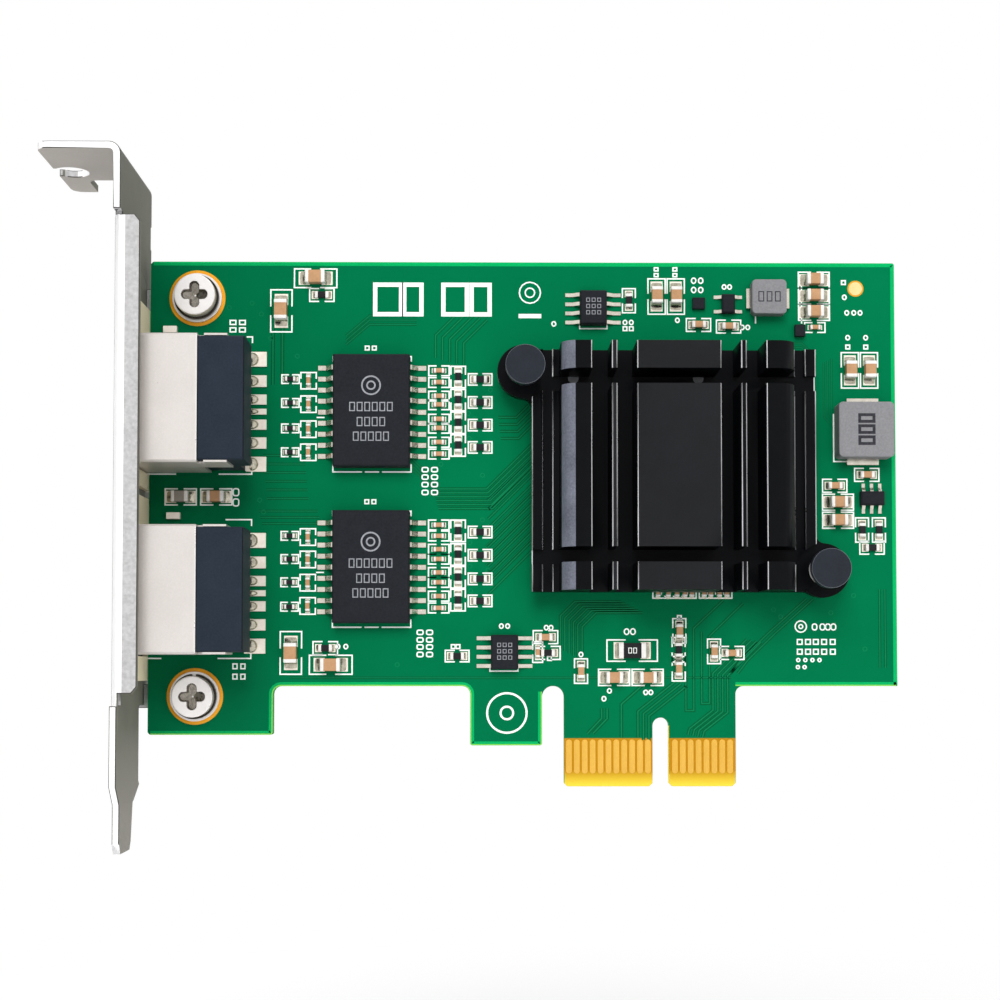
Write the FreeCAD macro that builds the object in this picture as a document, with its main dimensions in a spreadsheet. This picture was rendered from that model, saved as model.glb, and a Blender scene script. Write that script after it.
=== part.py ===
import FreeCAD, Part
import math
import os
import re
import Sketcher

# A two-port network card on a low-profile bracket, in millimetres.
# X runs along the board away from the bracket, Z points up from the edge connector and
# the component side faces -Y.  The origin is the middle of the key slot, at the lower end
# of the contacts and half way through the board.

# Driving dimensions: name, millimetres, meaning.
SIZES = (
    ("board_thickness", 1.57, "glass-fibre board"),
    ("board_top", 66.8, "upper edge above the contact ends"),
    ("board_bottom", 12.7, "long lower edge"),
    ("board_right", 30.1, "right edge from the key slot"),
    ("board_corner", 0.3, "bevel of the outer corners"),
    ("inner_corner", 1.0, "rounding in the lower edge's corners"),
    ("key_width", 2.1, "key slot between the tongues"),
    ("key_height", 8.7, "key slot above the contact ends"),
    ("left_tongue_width", 11.2, "tongue with eleven contacts"),
    ("right_tongue_width", 8.45, "tongue with eight contacts"),
    ("tongue_corner", 0.4, "bevel of the tongues' lower corners"),
    ("guide_slot_width", 2.8, "slot left of the tongue"),
    ("middle_foot_width", 9.1, "foot left of the guide slot"),
    ("middle_foot_bottom", 5.2, "its lower edge"),
    ("recess_width", 24.95, "recess between the feet"),
    ("left_foot_width", 15.8, "foot next to the bracket"),
    ("left_foot_bottom", 6.55, "its lower edge"),
    ("bevel_height", 1.5, "lead-in on the contact edge"),
    ("bevel_depth", 0.4, "how far the lead-in thins each face"),
    ("contact_pitch", 1.0, "edge contacts"),
    ("contact_width", 0.74, "edge contacts"),
    ("contact_low", 1.65, "lower ends of the contacts"),
    ("contact_high", 5.95, "upper ends of the contacts"),
    ("plating", 0.05, "gold on the board"),
    ("hole_inset", 5.95, "mounting holes from the board's left edge"),
    ("hole_high", 62.1, "upper mounting hole"),
    ("hole_low", 11.4, "lower mounting hole"),
    ("hole_radius", 1.6, "mounting holes"),
    ("flat_washer_radius", 3.15, "flat washer"),
    ("flat_washer_thickness", 0.4, "flat washer"),
    ("lock_washer_radius", 2.85, "split lock washer"),
    ("lock_washer_thickness", 0.6, "split lock washer"),
    ("lock_washer_gap", 0.5, "its split"),
    ("washer_bore", 1.6, "bore radius of both washers"),
    ("screw_head_radius", 2.6, "pan head"),
    ("screw_head_height", 1.5, "pan head"),
    ("screw_radius", 1.45, "shank"),
    ("screw_end_gap", 0.3, "shank past the ear"),
    ("thread_play", 0.03, "shank inside the ear"),
    ("cross_reach", 1.5, "half length of the cross recess"),
    ("cross_width", 0.95, "width of its arms"),
    ("cross_depth", 0.9, "its depth"),
    ("sheet", 0.86, "bracket steel"),
    ("bracket_gap", 0.75, "board edge to the plate's inner face"),
    ("near_reach", 15.2, "plate in front of the component face"),
    ("far_reach", 4.1, "plate behind the component face"),
    ("bend_radius", 0.6, "inside of the bends"),
    ("tab_under", 76.85, "underside of the screw tab"),
    ("tab_length", 9.3, "tab beyond the plate's outer face"),
    ("tab_corner", 1.5, "its outer corners"),
    ("notch_radius", 2.2, "screw notch"),
    ("notch_reach", 7.4, "its centre beyond the plate's outer face"),
    ("notch_front", 4.9, "its centre in front of the component face"),
    ("notch_mouth", 3.2, "its mouth at the tab's end"),
    ("side_cut_width", 6.1, "cut-out in the tab's far edge"),
    ("side_cut_front", 1.35, "its bottom in front of the component face"),
    ("side_cut_corner", 1.2, "its inner corner"),
    ("flange_reach", 3.2, "side flange from the plate's outer face"),
    ("flange_high", 68.95, "its upper end"),
    ("flange_low", 12.0, "its lower end"),
    ("bend_below", 1.5, "the bend runs on below the flange"),
    ("flange_corner", 0.65, "its corners"),
    ("relief", 0.7, "relief slit above the flange"),
    ("shoulder", 10.3, "where the plate narrows to the tongue"),
    ("tongue_back", 1.8, "far edge of the bracket tongue in front of the component face"),
    ("taper_high", 0.5, "start of the tongue's taper"),
    ("taper_low", -1.3, "end of the taper's steep part"),
    ("taper_back", 7.4, "far edge there"),
    ("tip_back", 8.4, "far edge at the tip"),
    ("tip_end", -6.9, "lower end of the bracket"),
    ("tip_corner", 1.0, "corners of the tip"),
    ("joggle", 0.45, "step in the tongue towards the board"),
    ("joggle_high", 1.0, "where the step starts"),
    ("joggle_low", -1.1, "where it ends"),
    ("ear_neck", 3.0, "width of an ear's neck"),
    ("ear_radius", 3.6, "round end of an ear"),
    ("narrow_high", 72.2, "slight waist in the plate's far edge, upper end"),
    ("narrow_low", 69.2, "its lower end"),
    ("narrow_depth", 0.45, "its depth"),
    ("jack_high", 47.55, "middle of the upper jack"),
    ("jack_low", 24.45, "middle of the lower jack"),
    ("jack_width", 15.6, "across the shield"),
    ("jack_height", 12.2, "above the board"),
    ("jack_reach", 0.3, "shield in front of the plate's outer face"),
    ("shield_sheet", 0.25, "shield metal"),
    ("shield_length", 9.85, "shield, front to its rear edge"),
    ("housing_length", 15.5, "jack, front to rear"),
    ("housing_inset", 0.2, "rear of the housing inside the shield's width"),
    ("window_play", 0.15, "plate window round a shield"),
    ("plug_width", 11.9, "plug cavity"),
    ("plug_height", 6.9, "plug cavity"),
    ("plug_depth", 12.6, "plug cavity from the front"),
    ("plug_floor", 2.6, "plug cavity above the board"),
    ("latch_width", 6.2, "latch step of the cavity"),
    ("latch_height", 1.4, "latch step"),
    ("latch_slot_width", 3.4, "latch slot"),
    ("latch_slot_height", 1.0, "latch slot"),
    ("wire_pitch", 1.02, "jack contacts"),
    ("wire_width", 0.36, "jack contacts"),
    ("wire_thickness", 0.3, "jack contacts"),
    ("tail_length", 3.6, "shield tails beside the housing"),
    ("tail_gap", 0.8, "slit between a tail's upper end and the shield"),
    ("tail_top", 0.3, "tail below the top of the shield"),
    ("tail_step", 1.5, "depth of that slit"),
    ("tail_drop", 5.8, "height of a tail"),
    ("undercut", 1.3, "recess low on the housing's rear, over the feet"),
    ("undercut_height", 5.3, "that recess above the board"),
    ("foot_reach", 2.55, "jack feet behind that recess"),
    ("foot_thickness", 0.25, "jack feet"),
    ("foot_rise", 1.2, "jack feet, up the housing's rear"),
    ("foot_slope", 0.6, "run of a foot's slope"),
    ("contact_sink", 0.6, "roots of the jack contacts under the plug cavity"),
    ("contact_root", 2.0, "length of those roots"),
    ("contact_rise", 0.2, "where the jack contacts bend up"),
    ("contact_bend", 0.3, "that bend from the cavity's end"),
    ("contact_reach", 6.4, "free ends of the jack contacts from the cavity's end"),
    ("contact_lift", 2.0, "free ends above the cavity's floor"),
    ("gasket_high", 49.0, "middle of the upper gasket"),
    ("gasket_low", 24.9, "middle of the lower gasket"),
    ("gasket_height", 23.0, "gasket frame along the board"),
    ("gasket_back", 1.9, "gasket frame behind the component face"),
    ("gasket_play", 0.2, "gasket round a shield"),
    ("gasket_end", 0.05, "gasket before the board's edge"),
    ("sink_x", 1.35, "middle of the heat sink"),
    ("sink_z", 39.7, "middle of the heat sink"),
    ("sink_width", 35.6, "base of the heat sink"),
    ("sink_height", 30.4, "base of the heat sink"),
    ("sink_base", 1.5, "thickness of its base"),
    ("sink_fins", 6.9, "fins above its base"),
    ("sink_corner", 0.5, "corners of its base"),
    ("rail_width", 1.4, "rails along its sides"),
    ("rail_height", 0.8, "rails"),
    ("strip_width", 0.9, "low strip beside an outer fin"),
    ("strip_height", 0.5, "low strip"),
    ("outer_fin_width", 3.75, "outer fins"),
    ("outer_fin_round", 2.3, "rounded flank of an outer fin"),
    ("rail_room", 1.15, "between a rail and the low strip"),
    ("thin_fin_width", 0.72, "thin fins"),
    ("block_width", 10.3, "middle block"),
    ("cut_width", 1.85, "saw cuts across the fins"),
    ("end_row", 3.4, "fin stubs beyond the saw cuts"),
    ("ear_beyond", 0.9, "push pins beyond the sides of the base"),
    ("ear_inside", 2.7, "push pins inside the ends of the base"),
    ("sink_ear_radius", 3.4, "ears of the heat sink"),
    ("sink_ear_bore", 1.5, "hole in an ear"),
    ("ear_fillet", 1.2, "hollow between an ear and the base"),
    ("chip_width", 17.0, "network controller"),
    ("chip_height", 1.6, "network controller"),
    ("thermal_width", 15.0, "thermal pad"),
    ("thermal_thickness", 0.4, "thermal pad"),
    ("pin_head_radius", 2.45, "push pin head"),
    ("pin_head_height", 1.3, "push pin head"),
    ("pin_head_lift", 7.6, "underside of the head above the board"),
    ("pin_radius", 1.15, "push pin shank"),
    ("pin_hole_radius", 1.55, "push pin holes in the board"),
    ("pin_barb_radius", 1.95, "push pin barb behind the board"),
    ("pin_barb_gap", 0.1, "barb behind the board"),
    ("pin_barb_length", 1.9, "push pin barb"),
    ("spring_wire", 0.22, "radius of the spring wire"),
    ("spring_radius", 1.65, "mean radius of the spring"),
    ("spring_turns", 3.0, "turns of the spring"),
    ("seat_gap", 0.05, "play at the ends of a spring"),
    ("magnetics_x", -36.65, "middle of the transformer blocks"),
    ("magnetics_high", 47.5, "upper transformer block"),
    ("magnetics_low", 27.75, "lower transformer block"),
    ("magnetics_width", 9.7, "transformer block"),
    ("magnetics_length", 14.2, "transformer block"),
    ("magnetics_height", 2.4, "transformer block"),
    ("magnetics_pitch", 1.41, "its leads"),
    ("magnetics_reach", 2.05, "its leads beyond the body"),
    ("magnetics_lead", 0.62, "width of its leads"),
    ("memory_width", 3.4, "eight-lead package"),
    ("memory_length", 4.35, "eight-lead package"),
    ("memory_height", 1.5, "eight-lead package"),
    ("memory_pitch", 1.17, "its leads"),
    ("memory_reach", 1.85, "its leads beyond the body"),
    ("memory_lead", 0.5, "width of its leads"),
    ("memory_upper_x", -8.5, "upper eight-lead package"),
    ("memory_upper_z", 60.8, "upper eight-lead package"),
    ("memory_lower_x", -19.8, "lower eight-lead package"),
    ("memory_lower_z", 17.0, "lower eight-lead package"),
    ("lead_thickness", 0.2, "leads of the packages"),
    ("package_chamfer", 0.18, "edges of the packages"),
    ("switch_width", 3.05, "six-lead package"),
    ("switch_depth", 1.75, "six-lead package"),
    ("switch_height", 1.1, "six-lead package"),
    ("switch_x", 26.95, "six-lead package"),
    ("switch_z", 36.55, "six-lead package"),
    ("switch_pitch", 1.05, "its leads"),
    ("switch_reach", 1.05, "its leads beyond the body"),
    ("regulator_width", 1.65, "five-lead package"),
    ("regulator_length", 2.45, "five-lead package"),
    ("regulator_height", 1.0, "five-lead package"),
    ("regulator_x", 8.75, "five-lead package"),
    ("regulator_z", 61.4, "five-lead package"),
    ("regulator_pitch", 1.85, "its leads"),
    ("regulator_reach", 1.0, "its leads beyond the body"),
    ("small_lead", 0.45, "leads of the small packages"),
    ("choke_width", 4.4, "small inductor"),
    ("choke_height", 1.9, "small inductor"),
    ("choke_x", 13.8, "small inductor"),
    ("choke_z", 62.1, "small inductor"),
    ("choke_terminal", 0.55, "its terminals beyond the body"),
    ("coil_width", 7.0, "large inductor"),
    ("coil_height", 3.0, "large inductor"),
    ("coil_x", 25.8, "large inductor"),
    ("coil_z", 45.05, "large inductor"),
    ("coil_terminal", 0.75, "its terminals beyond the body"),
    ("inductor_corner", 0.55, "corners of the inductors"),
    ("terminal_height", 0.6, "terminals of the inductors"),
    ("terminal_root", 0.3, "terminals inside the body"),
    ("terminal_play", 0.1, "room round a terminal's outer end"),
    ("package_lift", 0.08, "packages above the board"),
    ("spare", 1.0, "how far a cutting outline passes the metal"),
    ("large_length", 2.5, "largest ceramic capacitors"),
    ("large_width", 1.6, "largest ceramic capacitors"),
    ("large_height", 1.5, "largest ceramic capacitors"),
    ("medium_length", 2.1, "medium ceramic capacitors"),
    ("medium_width", 1.4, "medium ceramic capacitors"),
    ("medium_height", 1.35, "medium ceramic capacitors"),
    ("small_length", 1.75, "small capacitors and resistors"),
    ("small_width", 0.85, "small capacitors and resistors"),
    ("small_height", 0.75, "small capacitors"),
    ("tiny_length", 1.3, "tiny capacitors and resistors"),
    ("tiny_width", 0.58, "tiny capacitors and resistors"),
    ("tiny_height", 0.5, "tiny capacitors"),
    ("resistor_height", 0.45, "resistors"),
    ("shunt_length", 3.5, "current-sense resistor"),
    ("shunt_width", 1.95, "current-sense resistor"),
    ("shunt_height", 0.7, "current-sense resistor"),
    ("shunt_x", -3.6, "current-sense resistor"),
    ("shunt_z", 17.2, "current-sense resistor"),
    ("grid", 1.0, "unit of the part places in the lists below"),
)

# Middles of the small parts, as (x, z), and whether each lies along X or Z.
LARGE_CAPACITORS = (
    (-43.9, 64.7, "X"), (-41.8, 15.4, "X"), (-48.25, 60.5, "Z"), (-46.85, 16.9, "Z"),
)
MEDIUM_CAPACITORS = (
    (19.8, 64.6, "X"), (19.8, 62.55, "X"), (19.8, 60.45, "X"),
    (-0.35, 62.45, "Z"), (2.1, 62.45, "Z"), (24.35, 53.0, "Z"), (26.8, 53.0, "Z"),
    (22.7, 36.1, "X"), (22.7, 33.8, "X"), (-5.9, 13.8, "X"), (-1.65, 13.8, "X"),
    (-56.4, 36.7, "X"), (-60.9, 36.7, "X"),
)
SMALL_CAPACITORS = (
    (5.0, 58.8, "X"), (8.85, 58.6, "X"), (-10.1, 14.6, "Z"), (2.4, 19.7, "Z"),
    (2.3, 14.9, "Z"), (6.8, 17.1, "Z"), (-14.6, 18.9, "X"), (9.05, 16.9, "X"),
    (26.4, 39.6, "X"), (22.3, 38.2, "X"),
)
SMALL_RESISTORS = (
    (2.3, 17.3, "Z"), (25.75, 32.55, "Z"), (27.9, 32.55, "Z"), (27.0, 30.3, "X"),
    (-43.1, 62.55, "X"), (-25.8, 16.5, "X"), (-42.5, 17.5, "X"), (-14.3, 16.9, "X"),
    (-3.9, 61.9, "Z"),
)
TINY_CAPACITORS = (
    (-15.6, 17.0, "Z"), (19.9, 58.5, "X"),
)
TINY_BLOCKS = (
    (5.0, 61.5, 1.6, 1.45, 0.6), (17.9, 58.0, 1.3, 1.5, 0.8),
)
STATUS_LAMPS = (
    (-62.3, 58.0), (-61.75, 34.25),
)

# Rows of small parts beside the transformer blocks: x, the way they lie, their heights.
PAIR_CAPACITORS = (
    (-44.75, "Z", (51.55, 48.55, 45.35, 42.4, 31.6, 28.75, 25.8, 22.85)),
    (-28.15, "X", (52.85, 51.35, 49.6, 48.5, 46.65, 45.5, 43.7, 42.2)),
    (-28.15, "X", (33.15, 31.75, 30.05, 28.8, 27.1, 25.85, 24.1, 22.6)),
)
PAIR_ARRAYS = (
    (-25.7, "Z", (52.05, 49.1, 46.2, 43.3, 32.4, 29.4, 26.5, 23.6)),
    (-22.9, "X", (51.75, 48.8, 45.9, 43.05, 32.25, 29.3, 26.3, 23.5)),
)
PAIR_RESISTORS = (
    (-47.05, "X", (51.75, 48.7, 45.45, 42.4, 31.75, 28.8, 25.85, 22.75)),
)
BYPASS_ROW = (-0.3, 1.0, 2.1, 3.1, 4.0, 5.55, 6.4, 7.5, 8.45)
BYPASS_HEIGHT = 24.7

# Middle and width of each jack foot, as shares of the jack's width.
JACK_FEET = (
    (-0.4295, 0.1218), (-0.2564, 0.0929), (-0.1058, 0.0833), (0.0, 0.0481),
    (0.0994, 0.0833), (0.25, 0.0962), (0.4295, 0.1218),
)
# Gull-wing leads: shares of the reach and of the package's height where a lead turns.
LEAD_KNEE = 0.12
LEAD_HEEL = 0.42
LEAD_TOE = 0.5
LEAD_SHOULDER = 0.45
TERMINAL_SHARE = 0.58

doc = FreeCAD.newDocument("network_card")
sheet = doc.addObject("Spreadsheet::Sheet", "Sizes")
for row, (alias, value, meaning) in enumerate(SIZES, start=1):
    sheet.set("A%d" % row, meaning)
    sheet.set("B%d" % row, str(value))
    sheet.setAlias("B%d" % row, alias)
doc.recompute()
ALIASES = set(entry[0] for entry in SIZES)


def number(expression):
    """Value of an expression written with the sheet's names."""
    return float(sheet.evalExpression(str(expression)))


def linked(expression):
    """The same expression as another object has to write it."""
    def prefix(match):
        word = match.group(0)
        return "Sizes." + word if word in ALIASES else word
    return re.sub(r"[A-Za-z_]+", prefix, str(expression))


def bind(thing, name, expression):
    thing.setExpression(name, linked(expression))


# Places that several pieces share, all worked out from the sheet.
FRONT = "(-board_thickness / 2)"
BACK = "(board_thickness / 2)"
TONGUE_LEFT = "(-key_width / 2 - left_tongue_width)"
TONGUE_RIGHT = "(key_width / 2 + right_tongue_width)"
SLOT_LEFT = "(%s - guide_slot_width)" % TONGUE_LEFT
MIDDLE_FOOT_LEFT = "(%s - middle_foot_width)" % SLOT_LEFT
LEFT_FOOT_RIGHT = "(%s - recess_width)" % MIDDLE_FOOT_LEFT
BOARD_LEFT = "(%s - left_foot_width)" % LEFT_FOOT_RIGHT
HOLE_X = "(%s + hole_inset)" % BOARD_LEFT
PLATE_INNER = "(%s - bracket_gap)" % BOARD_LEFT
PLATE_OUTER = "(%s - sheet)" % PLATE_INNER
NEAR_EDGE = "(%s - near_reach)" % FRONT
FAR_EDGE = "(%s + far_reach)" % FRONT
JACK_FRONT = "(%s - jack_reach)" % PLATE_OUTER
SHIELD_REAR = "(%s + shield_length)" % JACK_FRONT
JACK_REAR = "(%s + housing_length)" % JACK_FRONT
SINK_UNDER = "(chip_height + thermal_thickness)"
SINK_TOP = "(%s + sink_base)" % SINK_UNDER
EAR_X = "(sink_width / 2 + ear_beyond)"
EAR_Z = "(sink_height / 2 - ear_inside)"
OUTER_FIN = "(sink_width / 2 - rail_width - rail_room - strip_width - outer_fin_width)"
THIN_FIN = "(block_width / 4 + %s / 2)" % OUTER_FIN


def new_body(name):
    body = doc.addObject("PartDesign::Body", name)
    body.Label = name
    return body


def new_sketch(body, name, role, lift=0):
    """Sketch on one of the body's own origin planes, lifted along the plane's normal.

    XZ_Plane looks from the component side (its normal is -Y), XY_Plane from above and
    YZ_Plane along -X.
    """
    plane = [item for item in body.Origin.OriginFeatures if item.Role == role][0]
    sketch = body.newObject("Sketcher::SketchObject", body.Name + "_" + name)
    sketch.AttachmentSupport = [(plane, "")]
    sketch.MapMode = "FlatFace"
    bind(sketch, "AttachmentOffset.Base.z", lift)
    return sketch


def add_places(sketch, places):
    """Fix points of the sketch: (geometry, point, axis, expression)."""
    first = sketch.ConstraintCount
    made = []
    for geometry, point, axis, expression in places:
        kind = "DistanceX" if axis == 0 else "DistanceY"
        made.append(Sketcher.Constraint(kind, -1, 1, geometry, point, number(expression)))
    sketch.addConstraint(made)
    for index, (geometry, point, axis, expression) in enumerate(places):
        bind(sketch, "Constraints[%d]" % (first + index), expression)


def add_outline(sketch, corners):
    """Closed outline through corners (x, y), (x, y, radius) or (x, y, bevel, "cut").

    The two sides of a rounded or bevelled corner lie along the sketch's axes.
    """
    spots = [(number(corner[0]), number(corner[1])) for corner in corners]
    count = len(corners)
    passes = []
    for index, corner in enumerate(corners):
        here = spots[index]
        if len(corner) == 2:
            passes.append([corner])
            continue
        ends = []
        for other in (spots[index - 1], spots[(index + 1) % count]):
            if abs(other[0] - here[0]) > abs(other[1] - here[1]):
                sign = "+" if other[0] > here[0] else "-"
                ends.append(("%s %s (%s)" % (corner[0], sign, corner[2]), corner[1]))
            else:
                sign = "+" if other[1] > here[1] else "-"
                ends.append((corner[0], "%s %s (%s)" % (corner[1], sign, corner[2])))
        passes.append(ends)
    steps = []
    places = []
    for index in range(count):
        if len(corners[index]) == 3:
            entry = FreeCAD.Vector(number(passes[index][0][0]), number(passes[index][0][1]), 0)
            leave = FreeCAD.Vector(number(passes[index][1][0]), number(passes[index][1][1]), 0)
            corner = FreeCAD.Vector(spots[index][0], spots[index][1], 0)
            centre = entry + leave - corner
            turn = (corner - entry).cross(leave - corner).z
            start, end = (entry, leave) if turn > 0 else (leave, entry)
            low = math.atan2(start.y - centre.y, start.x - centre.x)
            high = math.atan2(end.y - centre.y, end.x - centre.x)
            if high < low:
                high += 2 * math.pi
            circle = Part.Circle(centre, FreeCAD.Vector(0, 0, 1), (entry - corner).Length)
            shape = sketch.addGeometry(Part.ArcOfCircle(circle, low, high))
            steps.append((shape, 1, 2) if turn > 0 else (shape, 2, 1))
            places.append((shape, steps[-1][1], 0, passes[index][0][0]))
            places.append((shape, steps[-1][1], 1, passes[index][0][1]))
            along_x = abs(entry.y - corner.y) < 1e-9
            centre_x = passes[index][0][0] if along_x else passes[index][1][0]
            places.append((shape, 3, 0, centre_x))
        stops = passes[index][-1:] + passes[(index + 1) % count][:1]
        if len(corners[index]) == 4:
            stops = passes[index][:1] + stops
        for leave, arrive in zip(stops, stops[1:]):
            line = Part.LineSegment(
                FreeCAD.Vector(number(leave[0]), number(leave[1]), 0),
                FreeCAD.Vector(number(arrive[0]), number(arrive[1]), 0))
            shape = sketch.addGeometry(line)
            steps.append((shape, 1, 2))
            places.append((shape, 1, 0, leave[0]))
            places.append((shape, 1, 1, leave[1]))
    joins = []
    for index, step in enumerate(steps):
        following = steps[(index + 1) % len(steps)]
        joins.append(Sketcher.Constraint("Coincident", step[0], step[2], following[0], following[1]))
    sketch.addConstraint(joins)
    add_places(sketch, places)


def add_rectangle(sketch, left, low, right, high, *corner_form):
    """Rectangle from expressions; corner_form is a radius, or a bevel and "cut"."""
    corners = ((left, low), (right, low), (right, high), (left, high))
    add_outline(sketch, [corner + corner_form for corner in corners])


def add_circle(sketch, x, y, radius):
    centre = FreeCAD.Vector(number(x), number(y), 0)
    shape = sketch.addGeometry(Part.Circle(centre, FreeCAD.Vector(0, 0, 1), number(radius)))
    add_places(sketch, ((shape, 3, 0, x), (shape, 3, 1, y)))
    index = sketch.addConstraint(Sketcher.Constraint("Radius", shape, number(radius)))
    bind(sketch, "Constraints[%d]" % index, radius)


def add_diamond(sketch, x, y, radius):
    """Square outline about a point, with its corners on the sketch's axes."""
    add_outline(sketch, (
        ("%s + %s" % (x, radius), y),
        (x, "%s + %s" % (y, radius)),
        ("%s - %s" % (x, radius), y),
        (x, "%s - %s" % (y, radius))))


def pad(body, sketch, length):
    """Solid from the sketch along its plane's normal."""
    feature = body.newObject("PartDesign::Pad", sketch.Name + "_pad")
    feature.Profile = sketch
    bind(feature, "Length", length)
    sketch.Visibility = False
    return feature


def cut(body, sketch, length=None, along=False):
    """Pocket against the plane's normal, or along it, or right through both ways."""
    doc.recompute()
    before = body.Tip.Shape.Volume
    feature = body.newObject("PartDesign::Pocket", sketch.Name + "_cut")
    feature.Profile = sketch
    if length is None:
        feature.Type = "ThroughAll"
        feature.Midplane = True
    else:
        bind(feature, "Length", length)
        feature.Reversed = along
    doc.recompute()
    if not feature.Shape.Volume < before - 1e-6:
        raise ValueError(feature.Name + " cuts nothing")
    return feature


def revolve(body, sketch, axis="V_Axis"):
    feature = body.newObject("PartDesign::Revolution", sketch.Name + "_turn")
    feature.Profile = sketch
    feature.ReferenceAxis = (sketch, [axis])
    feature.Angle = 360
    return feature


def repeat(body, feature, sketch, axis, count, pitch):
    """The feature again and again along a sketch axis."""
    row = body.newObject("PartDesign::LinearPattern", feature.Name + "_row")
    row.Originals = [feature]
    row.Direction = (sketch, [axis])
    row.Mode = "Spacing"
    row.Occurrences = count
    bind(row, "Offset", pitch)
    body.Tip = row
    return row


def new_box(name, corner, size):
    """Block from its lowest corner and its three lengths, all expressions."""
    block = doc.addObject("Part::Box", name)
    for side, expression in zip(("Length", "Width", "Height"), size):
        bind(block, side, expression)
    for axis, expression in zip("xyz", corner):
        bind(block, "Placement.Base." + axis, expression)
    return block


def new_group(name, pieces):
    group = doc.addObject("Part::Compound", name)
    group.Links = pieces
    group.Label = name
    return group


def mounted_box(name, x, z, width, length, height, lift=0):
    """Block standing on the component face, from the middle of its footprint."""
    corner = (
        "%s - (%s) / 2" % (x, width),
        "%s - (%s) - (%s)" % (FRONT, lift, height),
        "%s - (%s) / 2" % (z, length))
    return new_box(name, corner, (width, height, length))


sub_parts = []


def keep(piece):
    sub_parts.append(piece)
    return piece


def make_board():
    body = new_body("circuit_board")
    outline = new_sketch(body, "outline", "XZ_Plane", "-board_thickness / 2")
    slot_round = "guide_slot_width * 0.49"
    key_round = "key_width * 0.49"
    add_outline(outline, (
        (BOARD_LEFT, "left_foot_bottom", "board_corner", "cut"),
        (LEFT_FOOT_RIGHT, "left_foot_bottom", "board_corner", "cut"),
        (LEFT_FOOT_RIGHT, "board_bottom", "inner_corner"),
        (MIDDLE_FOOT_LEFT, "board_bottom", "inner_corner"),
        (MIDDLE_FOOT_LEFT, "middle_foot_bottom", "board_corner", "cut"),
        (SLOT_LEFT, "middle_foot_bottom", "board_corner", "cut"),
        (SLOT_LEFT, "board_bottom", slot_round),
        (TONGUE_LEFT, "board_bottom", slot_round),
        (TONGUE_LEFT, "0", "tongue_corner", "cut"),
        ("-key_width / 2", "0", "tongue_corner", "cut"),
        ("-key_width / 2", "key_height", key_round),
        ("key_width / 2", "key_height", key_round),
        ("key_width / 2", "0", "tongue_corner", "cut"),
        (TONGUE_RIGHT, "0", "tongue_corner", "cut"),
        (TONGUE_RIGHT, "board_bottom", "inner_corner"),
        ("board_right", "board_bottom", "board_corner", "cut"),
        ("board_right", "board_top", "board_corner", "cut"),
        (BOARD_LEFT, "board_top", "board_corner", "cut")))
    pad(body, outline, "board_thickness")
    holes = new_sketch(body, "holes", "XZ_Plane")
    add_circle(holes, HOLE_X, "hole_high", "hole_radius")
    add_circle(holes, HOLE_X, "hole_low", "hole_radius")
    for side in ("-", "+"):
        add_circle(holes, "sink_x %s %s" % (side, EAR_X),
                   "sink_z %s %s" % ("+" if side == "-" else "-", EAR_Z), "pin_hole_radius")
    cut(body, holes)
    bevel = new_sketch(body, "bevel", "YZ_Plane")
    for face, sign in ((FRONT, "+"), (BACK, "-")):
        outer = "%s %s bevel_depth" % (face, "-" if sign == "+" else "+")
        add_outline(bevel, (
            (face, "bevel_height"),
            ("%s %s bevel_depth" % (face, sign), "0"),
            ("%s %s bevel_depth" % (face, sign), "-spare"),
            (outer, "-spare"),
            (outer, "bevel_height")))
    cut(body, bevel)
    return keep(body)


def make_contacts():
    body = new_body("edge_contacts")
    rows = (
        ("left", "%s + (left_tongue_width - 10 * contact_pitch) / 2" % TONGUE_LEFT, 11),
        ("right", "key_width / 2 + (right_tongue_width - 7 * contact_pitch) / 2", 8))
    for face, lift in (("front", "board_thickness / 2"), ("back", "-board_thickness / 2 - plating")):
        for side, first, count in rows:
            slot = new_sketch(body, face + "_" + side, "XZ_Plane", lift)
            add_rectangle(slot, "%s - contact_width / 2" % first, "contact_low",
                          "%s + contact_width / 2" % first, "contact_high")
            one = pad(body, slot, "plating")
            repeat(body, one, slot, "H_Axis", count, "contact_pitch")
    return keep(body)


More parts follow.
